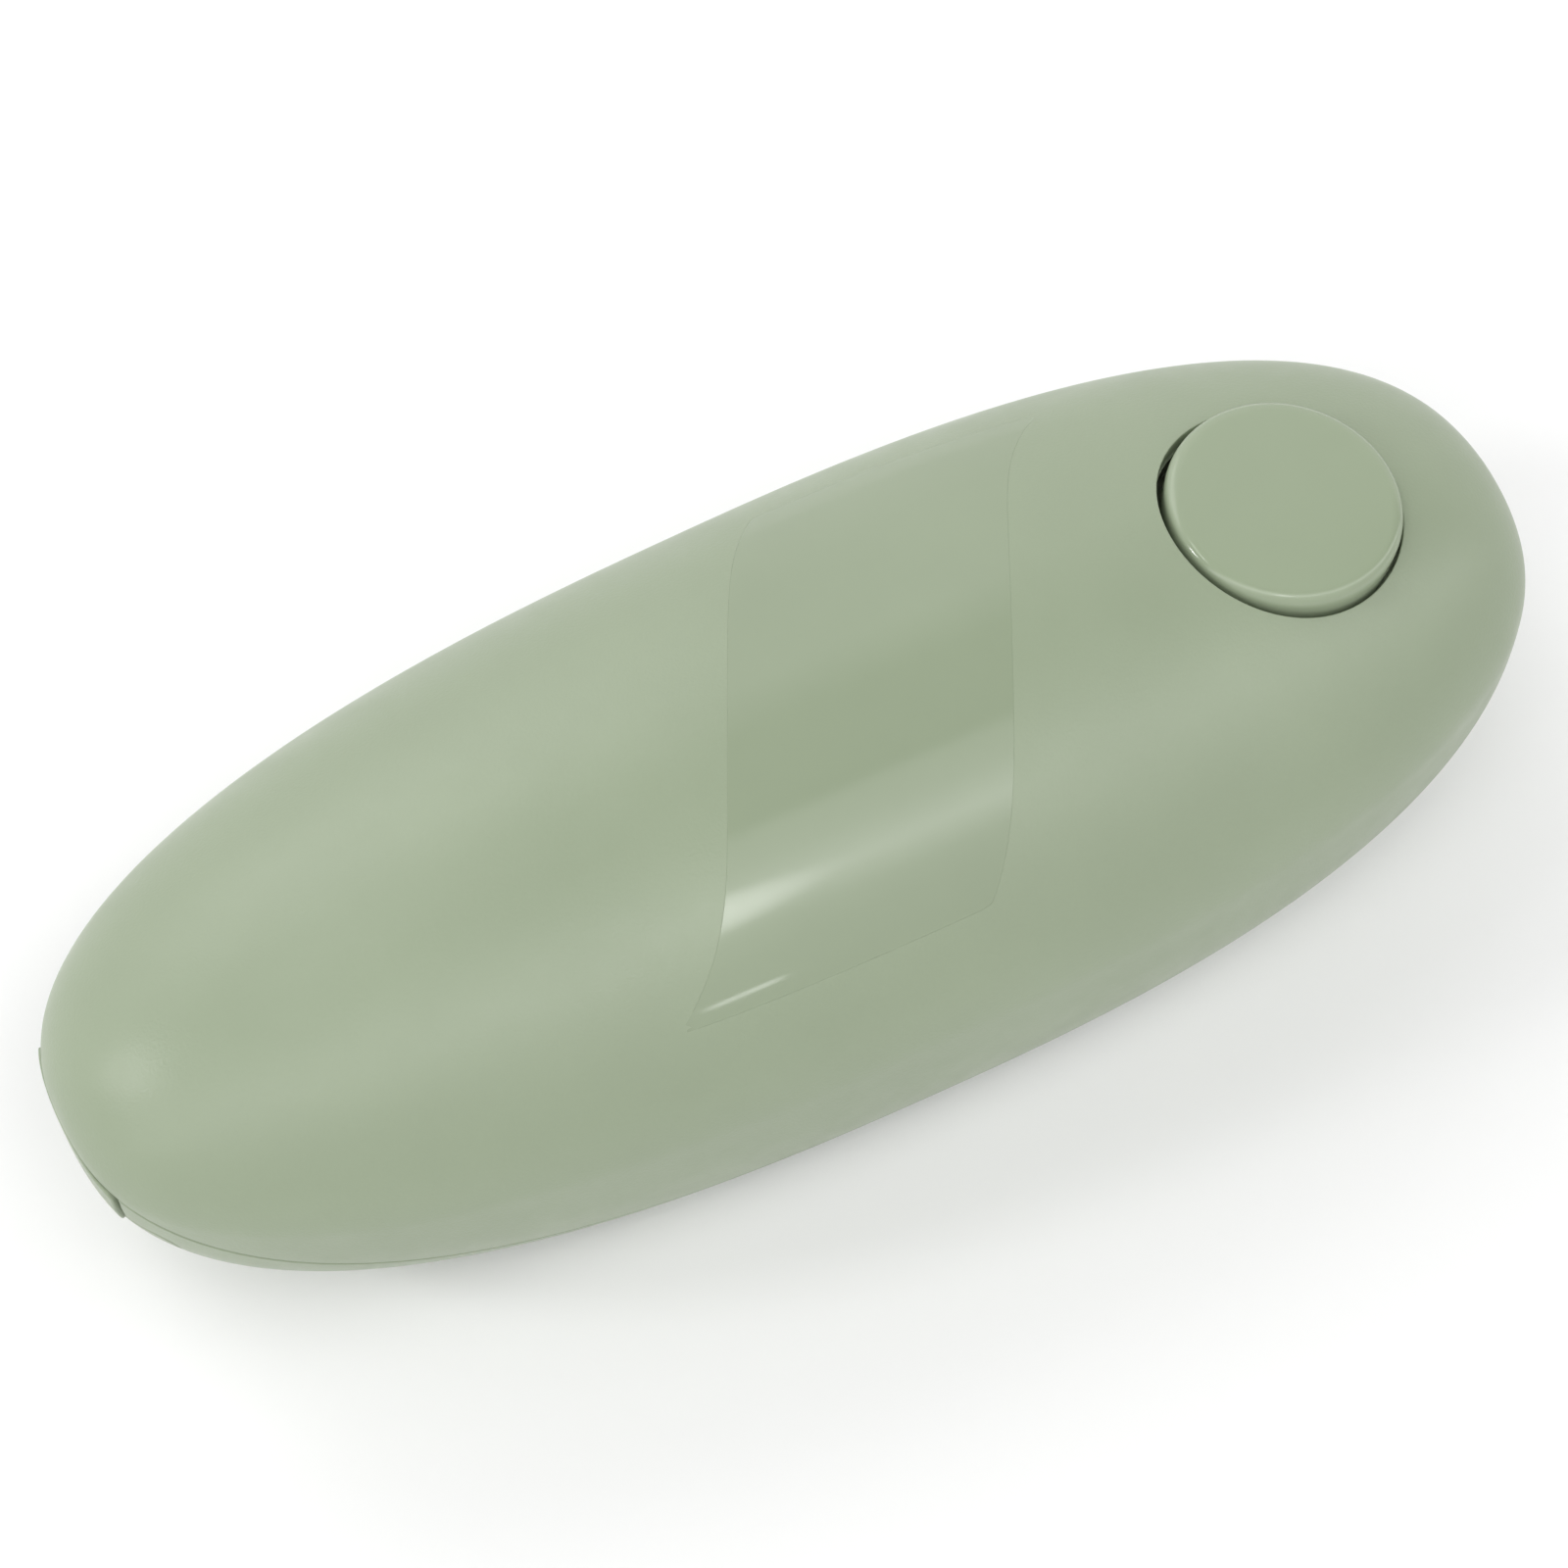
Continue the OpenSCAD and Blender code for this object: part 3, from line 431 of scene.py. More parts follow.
def close_skin(skin, depth, wall=None, edge_r=None):
    """Gives a trimmed skin its thickness, with rounded edges and walls along every rim."""
    pts, nrm, faces = skin
    wall = wall or plain_wall(depth)
    n = len(pts)
    edges = {(a, b) for face in faces for a, b in zip(face, face[1:] + face[:1])}
    rim = [e for face in faces for e in zip(face, face[1:] + face[:1]) if e[::-1] not in edges]
    leaving = {}
    for a, b in rim:
        step = unit(pts[b] - pts[a])
        for v in (a, b):
            leaving.setdefault(v, []).append(unit(np.cross(step, nrm[v])))
    new_pts, new_nrm, column = [], [], {}
    for v, outs in leaving.items():
        out = unit(np.sum(outs, axis=0))
        mitre = 1 / max(MITRE_LEAST, float(out @ outs[0]))
        edge = edge_r or edge_radius(pts[v])
        rows = []
        for k in range(1, EDGE_STEPS + 1):
            turn = pi / 2 * k / EDGE_STEPS
            place = pts[v] + mitre * edge * sin(turn) * out - edge * (1 - cos(turn)) * nrm[v]
            rows.append((place, cos(turn) * nrm[v] + sin(turn) * out))
        rows += wall(pts[v] + mitre * edge * out, nrm[v], out)
        column[v] = [v, *(2 * n + len(new_pts) + k for k in range(len(rows))), v + n]
        new_pts += [p for p, _ in rows]
        new_nrm += [q for _, q in rows]
    all_faces = faces + [tuple(v + n for v in reversed(face)) for face in faces]
    for a, b in rim:
        for k in range(len(column[a]) - 1):
            all_faces.append((column[b][k], column[a][k], column[a][k + 1], column[b][k + 1]))
    return (
        np.concatenate([pts, pts - depth * nrm, new_pts]),
        np.concatenate([nrm, -nrm, new_nrm]),
        all_faces,
    )


def sunk(skin, depth):
    pts, nrm, faces = skin
    return pts - depth * nrm, nrm, faces


def trimmed(skin, regions, inset):
    for region in regions:
        skin = trim(skin, region, inset)
    return skin


# ---------------------------------------------------------------- turned and stacked bodies


def rounded(corners, radius, steps=5):
    """A polyline with its inner corners rounded; radius is one value, or one for each corner."""
    corners = [np.array(c, float) for c in corners]
    radii = radius if hasattr(radius, "__len__") else [radius] * len(corners)
    line = [corners[0]]
    for before, at, after, r in zip(corners, corners[1:], corners[2:], radii[1:]):
        into, out = unit(before - at), unit(after - at)
        reach = min(r, np.linalg.norm(before - at) / 2.01, np.linalg.norm(after - at) / 2.01)
        for k in range(steps + 1):
            t = k / steps
            line.append(at + (1 - t) ** 2 * reach * into + t**2 * reach * out)
    line.append(corners[-1])
    return line


def lathe(profile, turns=TURNS):
    """Turns a line of (radius, height) about Z; it closes if the line starts and ends on the axis."""
    pts, rows, faces = [], [], []
    for r, z in profile:
        if r < 1e-6:
            rows.append([len(pts)] * turns)
            pts.append((0, 0, z))
            continue
        rows.append([len(pts) + k for k in range(turns)])
        pts += [(r * cos(2 * pi * k / turns), r * sin(2 * pi * k / turns), z) for k in range(turns)]
    for low, high in zip(rows, rows[1:]):
        for k in range(turns):
            m = (k + 1) % turns
            ring = [high[k], high[m], low[m], low[k]]
            faces.append(tuple(v for i, v in enumerate(ring) if v != ring[i - 1]))
    return np.array(pts), faces


def ring_lathe(profile, turns=TURNS):
    """Turns a closed loop of (radius, height) into a ring."""
    pts, faces = [], []
    n = len(profile)
    for k in range(turns):
        a = 2 * pi * k / turns
        pts += [(r * cos(a), r * sin(a), z) for r, z in profile]
    for k in range(turns):
        m = (k + 1) % turns
        for i in range(n):
            j = (i + 1) % n
            faces.append((k * n + i, m * n + i, m * n + j, k * n + j))
    return np.array(pts), faces


def stack(loops):
    """Joins outlines of the same number of points, bottom to top, and closes both ends."""
    n = len(loops[0])
    pts = np.concatenate([np.array(loop, float) for loop in loops])
    faces = [tuple(reversed(range(n)))]
    for i in range(len(loops) - 1):
        for j in range(n):
            k = (j + 1) % n
            faces.append((i * n + j, i * n + k, (i + 1) * n + k, (i + 1) * n + j))
    faces.append(tuple((len(loops) - 1) * n + j for j in range(n)))
    return pts, faces


def at_height(outline, z):
    return [(x, y, z) for x, y in outline]


def coil(radius, wire_r, low, high, turns):
    """Round wire along a helix with closed ends, standing on Z."""
    n = turns * COIL_STEPS
    climb = high - low - 2 * wire_r
    loops = []
    for i in range(n + 1):
        t = i / n
        a = 2 * pi * turns * t
        centre = np.array([radius * cos(a), radius * sin(a), low + wire_r + climb * t])
        outward = np.array([cos(a), sin(a), 0])
        angles = 2 * pi * np.arange(COIL_SIDES) / COIL_SIDES
        loops.append([centre + wire_r * (cos(b) * outward + sin(b) * np.array([0, 0, 1])) for b in angles])
    pts, faces = stack(loops)
    return pts, [tuple(reversed(face)) for face in faces]


def moved(body, at):
    pts, faces = body
    return pts + np.array(at, float), faces


def on_button_axis(body):
    """Stands a body along the button's axis, its height zero at the cap's top."""
    pts, faces = body
    turn = np.array(Matrix.Rotation(BUTTON_TILT, 3, "Y"))
    return pts @ turn.T + BUTTON_AT, faces


def joined(*bodies):
    pts, faces, start = [], [], 0
    for body_pts, body_faces in bodies:
        pts.append(body_pts)
        faces += [tuple(v + start for v in face) for face in body_faces]
        start += len(body_pts)
    return np.concatenate(pts), faces


# ---------------------------------------------------------------- objects


def new_object(name, pts, faces):
    mesh = bpy.data.meshes.new(name)
    mesh.from_pydata((np.asarray(pts) * MM).tolist(), [], faces)
    mesh.polygons.foreach_set("use_smooth", [True] * len(mesh.polygons))
    obj = bpy.data.objects.new(name, mesh)
    bpy.context.scene.collection.objects.link(obj)
    return obj


def skin_object(name, *skins, extra=()):
    """One object from closed skins, which bring their normals, and extra bodies, which do not."""
    pts = np.concatenate([skin[0] for skin in skins])
    faces, start = [], 0
    for skin_pts, _, skin_faces in skins:
        faces += [tuple(v + start for v in face) for face in skin_faces]
        start += len(skin_pts)
    known = start
    for body_pts, body_faces in extra:
        pts = np.concatenate([pts, body_pts])
        faces += [tuple(v + start for v in face) for face in body_faces]
        start += len(body_pts)
    obj = new_object(name, pts, faces)
    normals = np.zeros((len(pts), 3))
    normals[:known] = unit(np.concatenate([skin[1] for skin in skins]))
    obj.data.normals_split_custom_set_from_vertices(normals.tolist())
    return obj


def solid_object(name, body, sharp=35):
    obj = new_object(name, *body)
    obj.data.set_sharp_from_angle(angle=radians(sharp))
    return obj


def stands_for(obj, node, body, slot):
    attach(obj, body)
    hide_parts(node)
    obj.data.materials.append(MATERIALS[slot])
    return obj


# ---------------------------------------------------------------- materials


class Nodes:
    """Short names for the few shader nodes that the materials use."""

    def __init__(self, name):
        self.material = bpy.data.materials.new(name)
        self.material.use_nodes = True
        self.tree = self.material.node_tree
        self.shader = next(n for n in self.tree.nodes if n.type == "BSDF_PRINCIPLED")
        self.place = self.tree.nodes.new("ShaderNodeTexCoord").outputs["Object"]

    def link(self, a, b):
        self.tree.links.new(a, b)

    def stretched(self, scale):
        node = self.tree.nodes.new("ShaderNodeMapping")
        node.inputs["Scale"].default_value = scale
        self.link(self.place, node.inputs["Vector"])
        return node.outputs["Vector"]

    def noise(self, scale, detail=3.0, roughness=0.5, place=None):
        node = self.tree.nodes.new("ShaderNodeTexNoise")
        node.inputs["Scale"].default_value = scale
        node.inputs["Detail"].default_value = detail
        node.inputs["Roughness"].default_value = roughness
        self.link(place or self.place, node.inputs["Vector"])
        return node.outputs["Fac"]

    def spread(self, value, low, high, from_low=0.3, from_high=0.7):
        node = self.tree.nodes.new("ShaderNodeMapRange")
        node.inputs["From Min"].default_value = from_low
        node.inputs["From Max"].default_value = from_high
        node.inputs["To Min"].default_value = low
        node.inputs["To Max"].default_value = high
        self.link(value, node.inputs["Value"])
        return node.outputs["Result"]

    def ramp(self, value, low, high, low_at=0.3, high_at=0.7):
        node = self.tree.nodes.new("ShaderNodeValToRGB")
        first, last = node.color_ramp.elements
        first.position, last.position = low_at, high_at
        first.color = (*low, 1)
        last.color = (*high, 1)
        self.link(value, node.inputs["Fac"])
        return node.outputs["Color"]

    def bump(self, value, depth, before=None):
        node = self.tree.nodes.new("ShaderNodeBump")
        node.inputs["Strength"].default_value = 1.0
        node.inputs["Distance"].default_value = depth
        self.link(value, node.inputs["Height"])
        if before:
            self.link(before, node.inputs["Normal"])
        return node.outputs["Normal"]


def toned(color, share):
    return tuple(min(1, c * share) for c in color)


def plastic(name, color, rough, grain, grain_depth, tone=0.03, coat=0.0, wear=0.05):
    """Moulded plastic: faint tone drift, a fine mould texture and slightly uneven sheen."""
    n = Nodes(name)
    drift = n.noise(35, detail=4)
    n.link(n.ramp(drift, toned(color, 1 - tone), toned(color, 1 + tone)), n.shader.inputs["Base Color"])
    scuff = n.noise(160, detail=6, roughness=0.65)
    n.link(n.spread(scuff, rough - wear, rough + wear), n.shader.inputs["Roughness"])
    texture = n.bump(n.noise(grain, detail=2), grain_depth)
    n.link(n.bump(n.noise(22, detail=1), grain_depth * 3, before=texture), n.shader.inputs["Normal"])
    n.shader.inputs["Coat Weight"].default_value = coat
    n.shader.inputs["Coat Roughness"].default_value = 0.06
    n.shader.inputs["IOR"].default_value = 1.5
    return n.material


def metal(name, color, rough, stretch=(1, 1, 1), grain=900, grain_depth=0.00002, tone=0.08):
    """Metal with a drawn or ground grain; stretch draws the grain out along an axis."""
    n = Nodes(name)
    place = n.stretched(stretch)
    lines = n.noise(grain, detail=4, roughness=0.6, place=place)
    n.link(n.ramp(lines, toned(color, 1 - tone), toned(color, 1 + tone)), n.shader.inputs["Base Color"])
    smear = n.noise(120, detail=5)
    n.link(n.spread(smear, rough * 0.8, rough * 1.25), n.shader.inputs["Roughness"])
    n.link(n.bump(lines, grain_depth), n.shader.inputs["Normal"])
    n.shader.inputs["Metallic"].default_value = 1.0
    return n.material


SAGE = (0.273, 0.325, 0.223)
MATERIALS = {
    "shell_plastic": plastic("shell_plastic", SAGE, 0.36, 2600, 0.000035),
    "gloss_plastic": plastic("gloss_plastic", toned(SAGE, 0.98), 0.06, 2600, 0.0000004, wear=0.015),
    "button_plastic": plastic("button_plastic", toned(SAGE, 1.05), 0.09, 2600, 0.0000006, wear=0.02),
    "foot_rubber": plastic("foot_rubber", (0.025, 0.025, 0.026), 0.75, 1800, 0.00005, tone=0.2),
    "black_plastic": plastic("black_plastic", (0.03, 0.03, 0.032), 0.45, 2200, 0.00003, tone=0.12),
    "board_green": plastic("board_green", (0.015, 0.12, 0.045), 0.3, 700, 0.00002, tone=0.1),
    "cell_sleeve": plastic("cell_sleeve", (0.06, 0.15, 0.32), 0.28, 900, 0.00001, coat=0.4),
    "lead_red": plastic("lead_red", (0.5, 0.03, 0.02), 0.4, 1500, 0.00001),
    "ferrite": plastic("ferrite", (0.05, 0.05, 0.055), 0.6, 1500, 0.00004, tone=0.15),
    "white_nylon": plastic("white_nylon", (0.78, 0.76, 0.68), 0.38, 1600, 0.00002),
    "screw_steel": metal("screw_steel", (0.6, 0.6, 0.61), 0.3),
    "spring_steel": metal("spring_steel", (0.62, 0.62, 0.63), 0.22),
    "plated_steel": metal("plated_steel", (0.55, 0.56, 0.58), 0.34, stretch=(0.05, 1, 1)),
    "armature": metal("armature", (0.55, 0.3, 0.12), 0.4, stretch=(1, 1, 0.05)),
    "brass": metal("brass", (0.72, 0.52, 0.22), 0.3),
    "bronze": metal("bronze", (0.5, 0.32, 0.14), 0.45),
    "gear_steel": metal("gear_steel", (0.5, 0.5, 0.52), 0.3),
    "hard_steel": metal("hard_steel", (0.55, 0.55, 0.56), 0.22, stretch=(1, 1, 0.1)),
    "stainless": metal("stainless", (0.62, 0.62, 0.63), 0.28, stretch=(0.04, 1, 1)),
    "cam_steel": metal("cam_steel", (0.34, 0.35, 0.37), 0.36, stretch=(1, 0.1, 1)),
    "magnet_nickel": metal("magnet_nickel", (0.68, 0.67, 0.64), 0.18),
}


def dress_cad_nodes():
    slots = {part["node"]: part["material_slot"] for part in frame["record"]["subparts"]}
    for name, obj in frame["nodes"].items():
        obj.data.materials.clear()
        obj.data.materials.append(MATERIALS[slots[name]])


# ---------------------------------------------------------------- casing pieces


def build_top_shell(form):
    band_free = trim(form, outside(in_band), BAND_EDGE_R)
    holed = trim(band_free, off_button, HOLE_EDGE_R)
    skin = close_skin(trim(holed, above_seam, EDGE_R), WALL, casing_wall(WALL))
    band_floor = trim(form, shrunk(in_band, -BAND_FLOOR_LAP), 0)
    floor = close_skin(sunk(band_floor, BAND_T), WALL - BAND_T, edge_r=FLOOR_EDGE_R)
    bore_r, well_r = STEM_R + STEM_GAP, CAP_R + CAP_GAP + WELL_WALL / 2
    under = -WELL_FLOOR - WELL_WALL
    well = ring_lathe([(well_r, -WELL_FLOOR), (well_r, under), (bore_r, under), (bore_r, -WELL_FLOOR)])
    well = on_button_axis(moved(well, (-WELL_SHIFT, 0, 0)))
    obj = skin_object("top_shell_skin", skin, floor, extra=[well])
    return stands_for(obj, "top_shell", "housing", "shell_plastic")


def build_gloss_band(form):
    cut = trim(form, in_band, BAND_EDGE_R)
    obj = skin_object("gloss_band_skin", close_skin(cut, BAND_T - BAND_FIT, edge_r=BAND_EDGE_R))
    return stands_for(obj, "gloss_band", "housing", "gloss_plastic")


def arc_outline(inset):
    """The fence's crescent seen from above, drawn in from its edge by inset."""
    half_t = FENCE_T / 2 - inset
    inner_r, outer_r = FENCE_R - half_t, FENCE_R + half_t
    angles = [FENCE_HALF_ANGLE * (2 * i / FENCE_STEPS - 1) for i in range(FENCE_STEPS + 1)]
    outline = [(outer_r * cos(a), outer_r * sin(a)) for a in angles]
    for side in (1, -1):
        end = np.array([FENCE_R * cos(FENCE_HALF_ANGLE), side * FENCE_R * sin(FENCE_HALF_ANGLE)])
        start = FENCE_HALF_ANGLE if side > 0 else pi - FENCE_HALF_ANGLE
        for i in range(1, FENCE_END_STEPS):
            a = start + pi * i / FENCE_END_STEPS
            outline.append(tuple(end + half_t * np.array([cos(a), sin(a)])))
        if side > 0:
            outline += [(inner_r * cos(a), inner_r * sin(a)) for a in reversed(angles)]
    return [(x + FENCE_AT[0], y + FENCE_AT[1]) for x, y in outline]


def fence_body():
    loops = []
    for k in range(FENCE_EDGE_STEPS + 1):
        turn = pi / 2 * k / FENCE_EDGE_STEPS
        z = FENCE_LOW_Z + FENCE_EDGE_R * (1 - sin(turn))
        loops.append(at_height(arc_outline(FENCE_EDGE_R * (1 - cos(turn))), z))
    loops = loops[::-1] + [at_height(arc_outline(0), FENCE_TOP_Z)]
    return stack(loops)


def keel_z(x, y):
    """Height of the casing's outer face below its widest line."""
    s = x / HALF_LEN
    across = np.abs(y) / (HALF_W * taper(s, PLAN_POWER) * (1 + EGG * s))
    return lift_to_underside(EQ_Z - KEEL_H * taper(s, SIDE_POWER) * taper(across, KEEL_POWER), x)


def screw_well(at):
    """Tube from the underside, whose curve its mouth follows, up to the seat of a casing screw."""
    seat = SCREW_SEAT_TAIL if at[0] < 0 else SCREW_SEAT_HEAD
    top = seat + SCREW_SEAT_T
    outer = SCREW_WELL_R + SCREW_WELL_WALL
    loop = [
        (SCREW_HOLE_R, seat),
        (SCREW_WELL_R, seat),
        (SCREW_WELL_R, 0),
        (outer, 0),
        (outer, top),
        (SCREW_HOLE_R, top),
    ]
    pts, faces = moved(ring_lathe(loop, SMALL_TURNS), (*at, 0))
    mouth = np.minimum(keel_z(pts[:, 0], pts[:, 1]) + WALL / 2, seat - SCREW_MOUTH_GAP)
    pts[:, 2] = np.where(pts[:, 2] < mouth, mouth, pts[:, 2])
    return pts, faces


def build_bottom_shell(form):
    openings = [below_seam, outside(in_door, DOOR_GAP), outside(in_lip, DOOR_GAP)]
    openings += [outside_circle(at, SCREW_WELL_R, EQ_Z) for at in SCREW_AT]
    openings += [outside_circle(at, r, HOLE_TOP_Z) for at, r in HEAD_HOLES]
    for side in (1, -1):
        foot_at = (TAIL_FOOT[0], side * TAIL_FOOT[1])
        openings.append(outside_circle(foot_at, FOOT_R + FOOT_GAP, HOLE_TOP_Z))
    skin = close_skin(trimmed(form, openings, EDGE_R), WALL)
    bodies = [fence_body(), *(screw_well(at) for at in SCREW_AT)]
    obj = skin_object("bottom_shell_skin", skin, extra=bodies)
    return stands_for(obj, "bottom_shell", "housing", "shell_plastic")


def rib_body(x):
    """Thumb rib across the door, with rounded ends, sunk into the door's face but for its crest."""
    loops = []
    angles = 2 * pi * np.arange(RIB_SIDES) / RIB_SIDES
    for turn in pi * np.arange(RIB_STEPS + 1) / RIB_STEPS:
        y = -RIB_HALF_L * cos(turn)
        r = RIB_R * max(RIB_END_SHARE, sin(turn)) ** RIB_END_POWER
        z = float(keel_z(x, y)) + RIB_R - RIB_PROUD
        loops.append([(x + r * cos(b), y, z + r * sin(b)) for b in angles])
    pts, faces = stack(loops)
    return pts, [tuple(reversed(face)) for face in faces]


def build_battery_door(form, lip_form):
    strip = close_skin(trim(form, in_door, EDGE_R), WALL)
    lip = close_skin(trim(lip_form, in_lip, LIP_EDGE_R), WALL, edge_r=LIP_EDGE_R)
    obj = skin_object("battery_door_skin", strip, lip, extra=[rib_body(x) for x in RIB_X])
    return stands_for(obj, "battery_door", "door", "shell_plastic")


# ---------------------------------------------------------------- button, feet and cutting head


def build_start_button():
    inner_r = CAP_R - CAP_WALL
    corners = [
        ((0, 0), 0),
        ((CAP_R, 0), CAP_EDGE_R),
        ((CAP_R, -CAP_H - CAP_SKIRT), 0.3),
        ((inner_r, -CAP_H - CAP_SKIRT), 0.3),
        ((inner_r, -CAP_H), 0.4),
        ((STEM_R, -CAP_H), 0.5),
        ((STEM_R, NUB_L - STEM_END), 0.3),
        ((NUB_R, NUB_L - STEM_END), 0.2),
        ((NUB_R, -STEM_END), 0.4),
        ((0, -STEM_END), 0),
    ]
    profile = rounded([at for at, _ in corners], [radius for _, radius in corners], steps=8)
    obj = solid_object("start_button_cap", on_button_axis(lathe(profile[::-1])), sharp=30)
    return stands_for(obj, "start_button", "button", "button_plastic")


def build_button_spring():
    low, high = -WELL_FLOOR + SPRING_CLEAR, -CAP_H - SPRING_CLEAR
    body = on_button_axis(coil(SPRING_R, SPRING_WIRE_R, low, high, SPRING_TURNS))
    obj = stands_for(solid_object("button_spring_coil", body), "button_spring", "housing", "spring_steel")
    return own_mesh(obj)


def foot_body(x, y, r, h):
    profile = rounded([(0, 0), (r, 0), (r, h), (0, h)], [0, FOOT_EDGE_R, FOOT_TOP_R, 0])
    return moved(lathe(profile, SMALL_TURNS), (x, y, 0))


def build_feet():
    bodies = [foot_body(TAIL_FOOT[0], side * TAIL_FOOT[1], FOOT_R, FOOT_H) for side in (1, -1)]
    for side in (1, -1):
        a = side * FENCE_FOOT_ANGLE
        x, y = FENCE_AT[0] + FENCE_R * cos(a), FENCE_R * sin(a)
        bodies.append(foot_body(x, y, FENCE_FOOT_R, FENCE_FOOT_H))
    obj = solid_object("rubber_feet_set", joined(*bodies))
    return stands_for(obj, "rubber_feet", "housing", "foot_rubber")


def build_drive_wheel():
    """Toothed wheel with its teeth chamfered at both faces, and a hub above it."""

    def outline(shrink):
        rim = []
        for i in range(4 * DRIVE_TEETH):
            phase = i % 4
            r = DRIVE_R - (0 if phase in (0, 1) else DRIVE_TOOTH_H) - shrink
            a = 2 * pi * (i // 4 + DRIVE_TOOTH_PHASES[phase]) / DRIVE_TEETH
            rim.append((DRIVE_AT[0] + r * cos(a), DRIVE_AT[1] + r * sin(a)))
        return rim

    top = DRIVE_Z + DRIVE_T
    loops = [
        at_height(outline(DRIVE_CHAMFER), DRIVE_Z),
        at_height(outline(0), DRIVE_Z + DRIVE_CHAMFER),
        at_height(outline(0), top - DRIVE_CHAMFER),
        at_height(outline(DRIVE_CHAMFER), top),
    ]
    hub_low, hub_top = top - DRIVE_HUB_LAP, top + DRIVE_HUB_H
    corners = [(0, hub_low), (DRIVE_HUB_R, hub_low), (DRIVE_HUB_R, hub_top), (0, hub_top)]
    hub = rounded(corners, [0, 0, DRIVE_HUB_EDGE_R, 0])
    body = joined(stack(loops), moved(lathe(hub, SMALL_TURNS), (*DRIVE_AT, 0)))
    return stands_for(solid_object("drive_wheel_toothed", body), "drive_wheel", "drive", "hard_steel")


def build_cutter_wheel():
    bevel_r = CUTTER_R - CUTTER_BEVEL_W
    top = CAM_Z - CUTTER_CAM_GAP
    loop = [
        (CUTTER_PIN_R, CUTTER_Z - CUTTER_T / 2),
        (CUTTER_HUB_R, CUTTER_Z - CUTTER_T / 2),
        (bevel_r, CUTTER_Z - CUTTER_BEVEL_HALF_T),
        (CUTTER_R - CUTTER_EDGE, CUTTER_Z - CUTTER_EDGE),
        (CUTTER_R - CUTTER_EDGE, CUTTER_Z + CUTTER_EDGE),
        (bevel_r, CUTTER_Z + CUTTER_BEVEL_HALF_T),
        (CUTTER_HUB_R, CUTTER_Z + CUTTER_T / 2),
        (CUTTER_HUB_R, top),
        (CUTTER_PIN_R, top),
    ]
    body = moved(ring_lathe(loop), (*CUTTER_AT, 0))
    obj = solid_object("cutter_wheel_disc", body, sharp=8)
    return stands_for(obj, "cutter_wheel", "cutter", "hard_steel")


# ---------------------------------------------------------------- studio


def add_floor():
    half = 4.0
    mesh = bpy.data.meshes.new("floor")
    corners = [(-half, -half, 0), (half, -half, 0), (half, half, 0), (-half, half, 0)]
    mesh.from_pydata(corners, [], [(0, 1, 2, 3)])
    floor = bpy.data.objects.new("floor", mesh)
    bpy.context.scene.collection.objects.link(floor)
    n = Nodes("floor_paper")
    n.link(n.ramp(n.noise(3), (0.86, 0.86, 0.86), (0.88, 0.88, 0.88)), n.shader.inputs["Base Color"])
    n.link(n.spread(n.noise(40), 0.75, 0.85), n.shader.inputs["Roughness"])
    mesh.materials.append(n.material)


def add_light(name, at, aim, size, power):
    data = bpy.data.lights.new(name, "AREA")
    data.shape = "RECTANGLE"
    data.size, data.size_y = size
    data.energy = power
    light = bpy.data.objects.new(name, data)
    light.location = at
    light.rotation_euler = (Vector(aim) - Vector(at)).to_track_quat("-Z", "Y").to_euler()
    bpy.context.scene.collection.objects.link(light)


# Brightness of the studio round the object's long axis, from the side behind the camera over the
# top to the far side: (angle from overhead in degrees, brightness)
STUDIO_BANDS = (
    (-90, 0.74),
    (-52, 0.8),
    (-38, 1.0),
    (-30, 1.4),
    (-21, 3.3),
    (-12, 1.7),
    (-4, 1.1),
    (-1, 0.1),
    (22, 0.1),
    (38, 1.0),
    (90, 1.0),
)
STUDIO_STRENGTH = 1.04
# Round soft box that the gloss band mirrors: its direction, its reach in degrees and its brightness
BAND_SPOT_AT = (0.085, -0.36, 0.93)
BAND_SPOT_REACH = 7
BAND_SPOT_LEVEL = 4.0


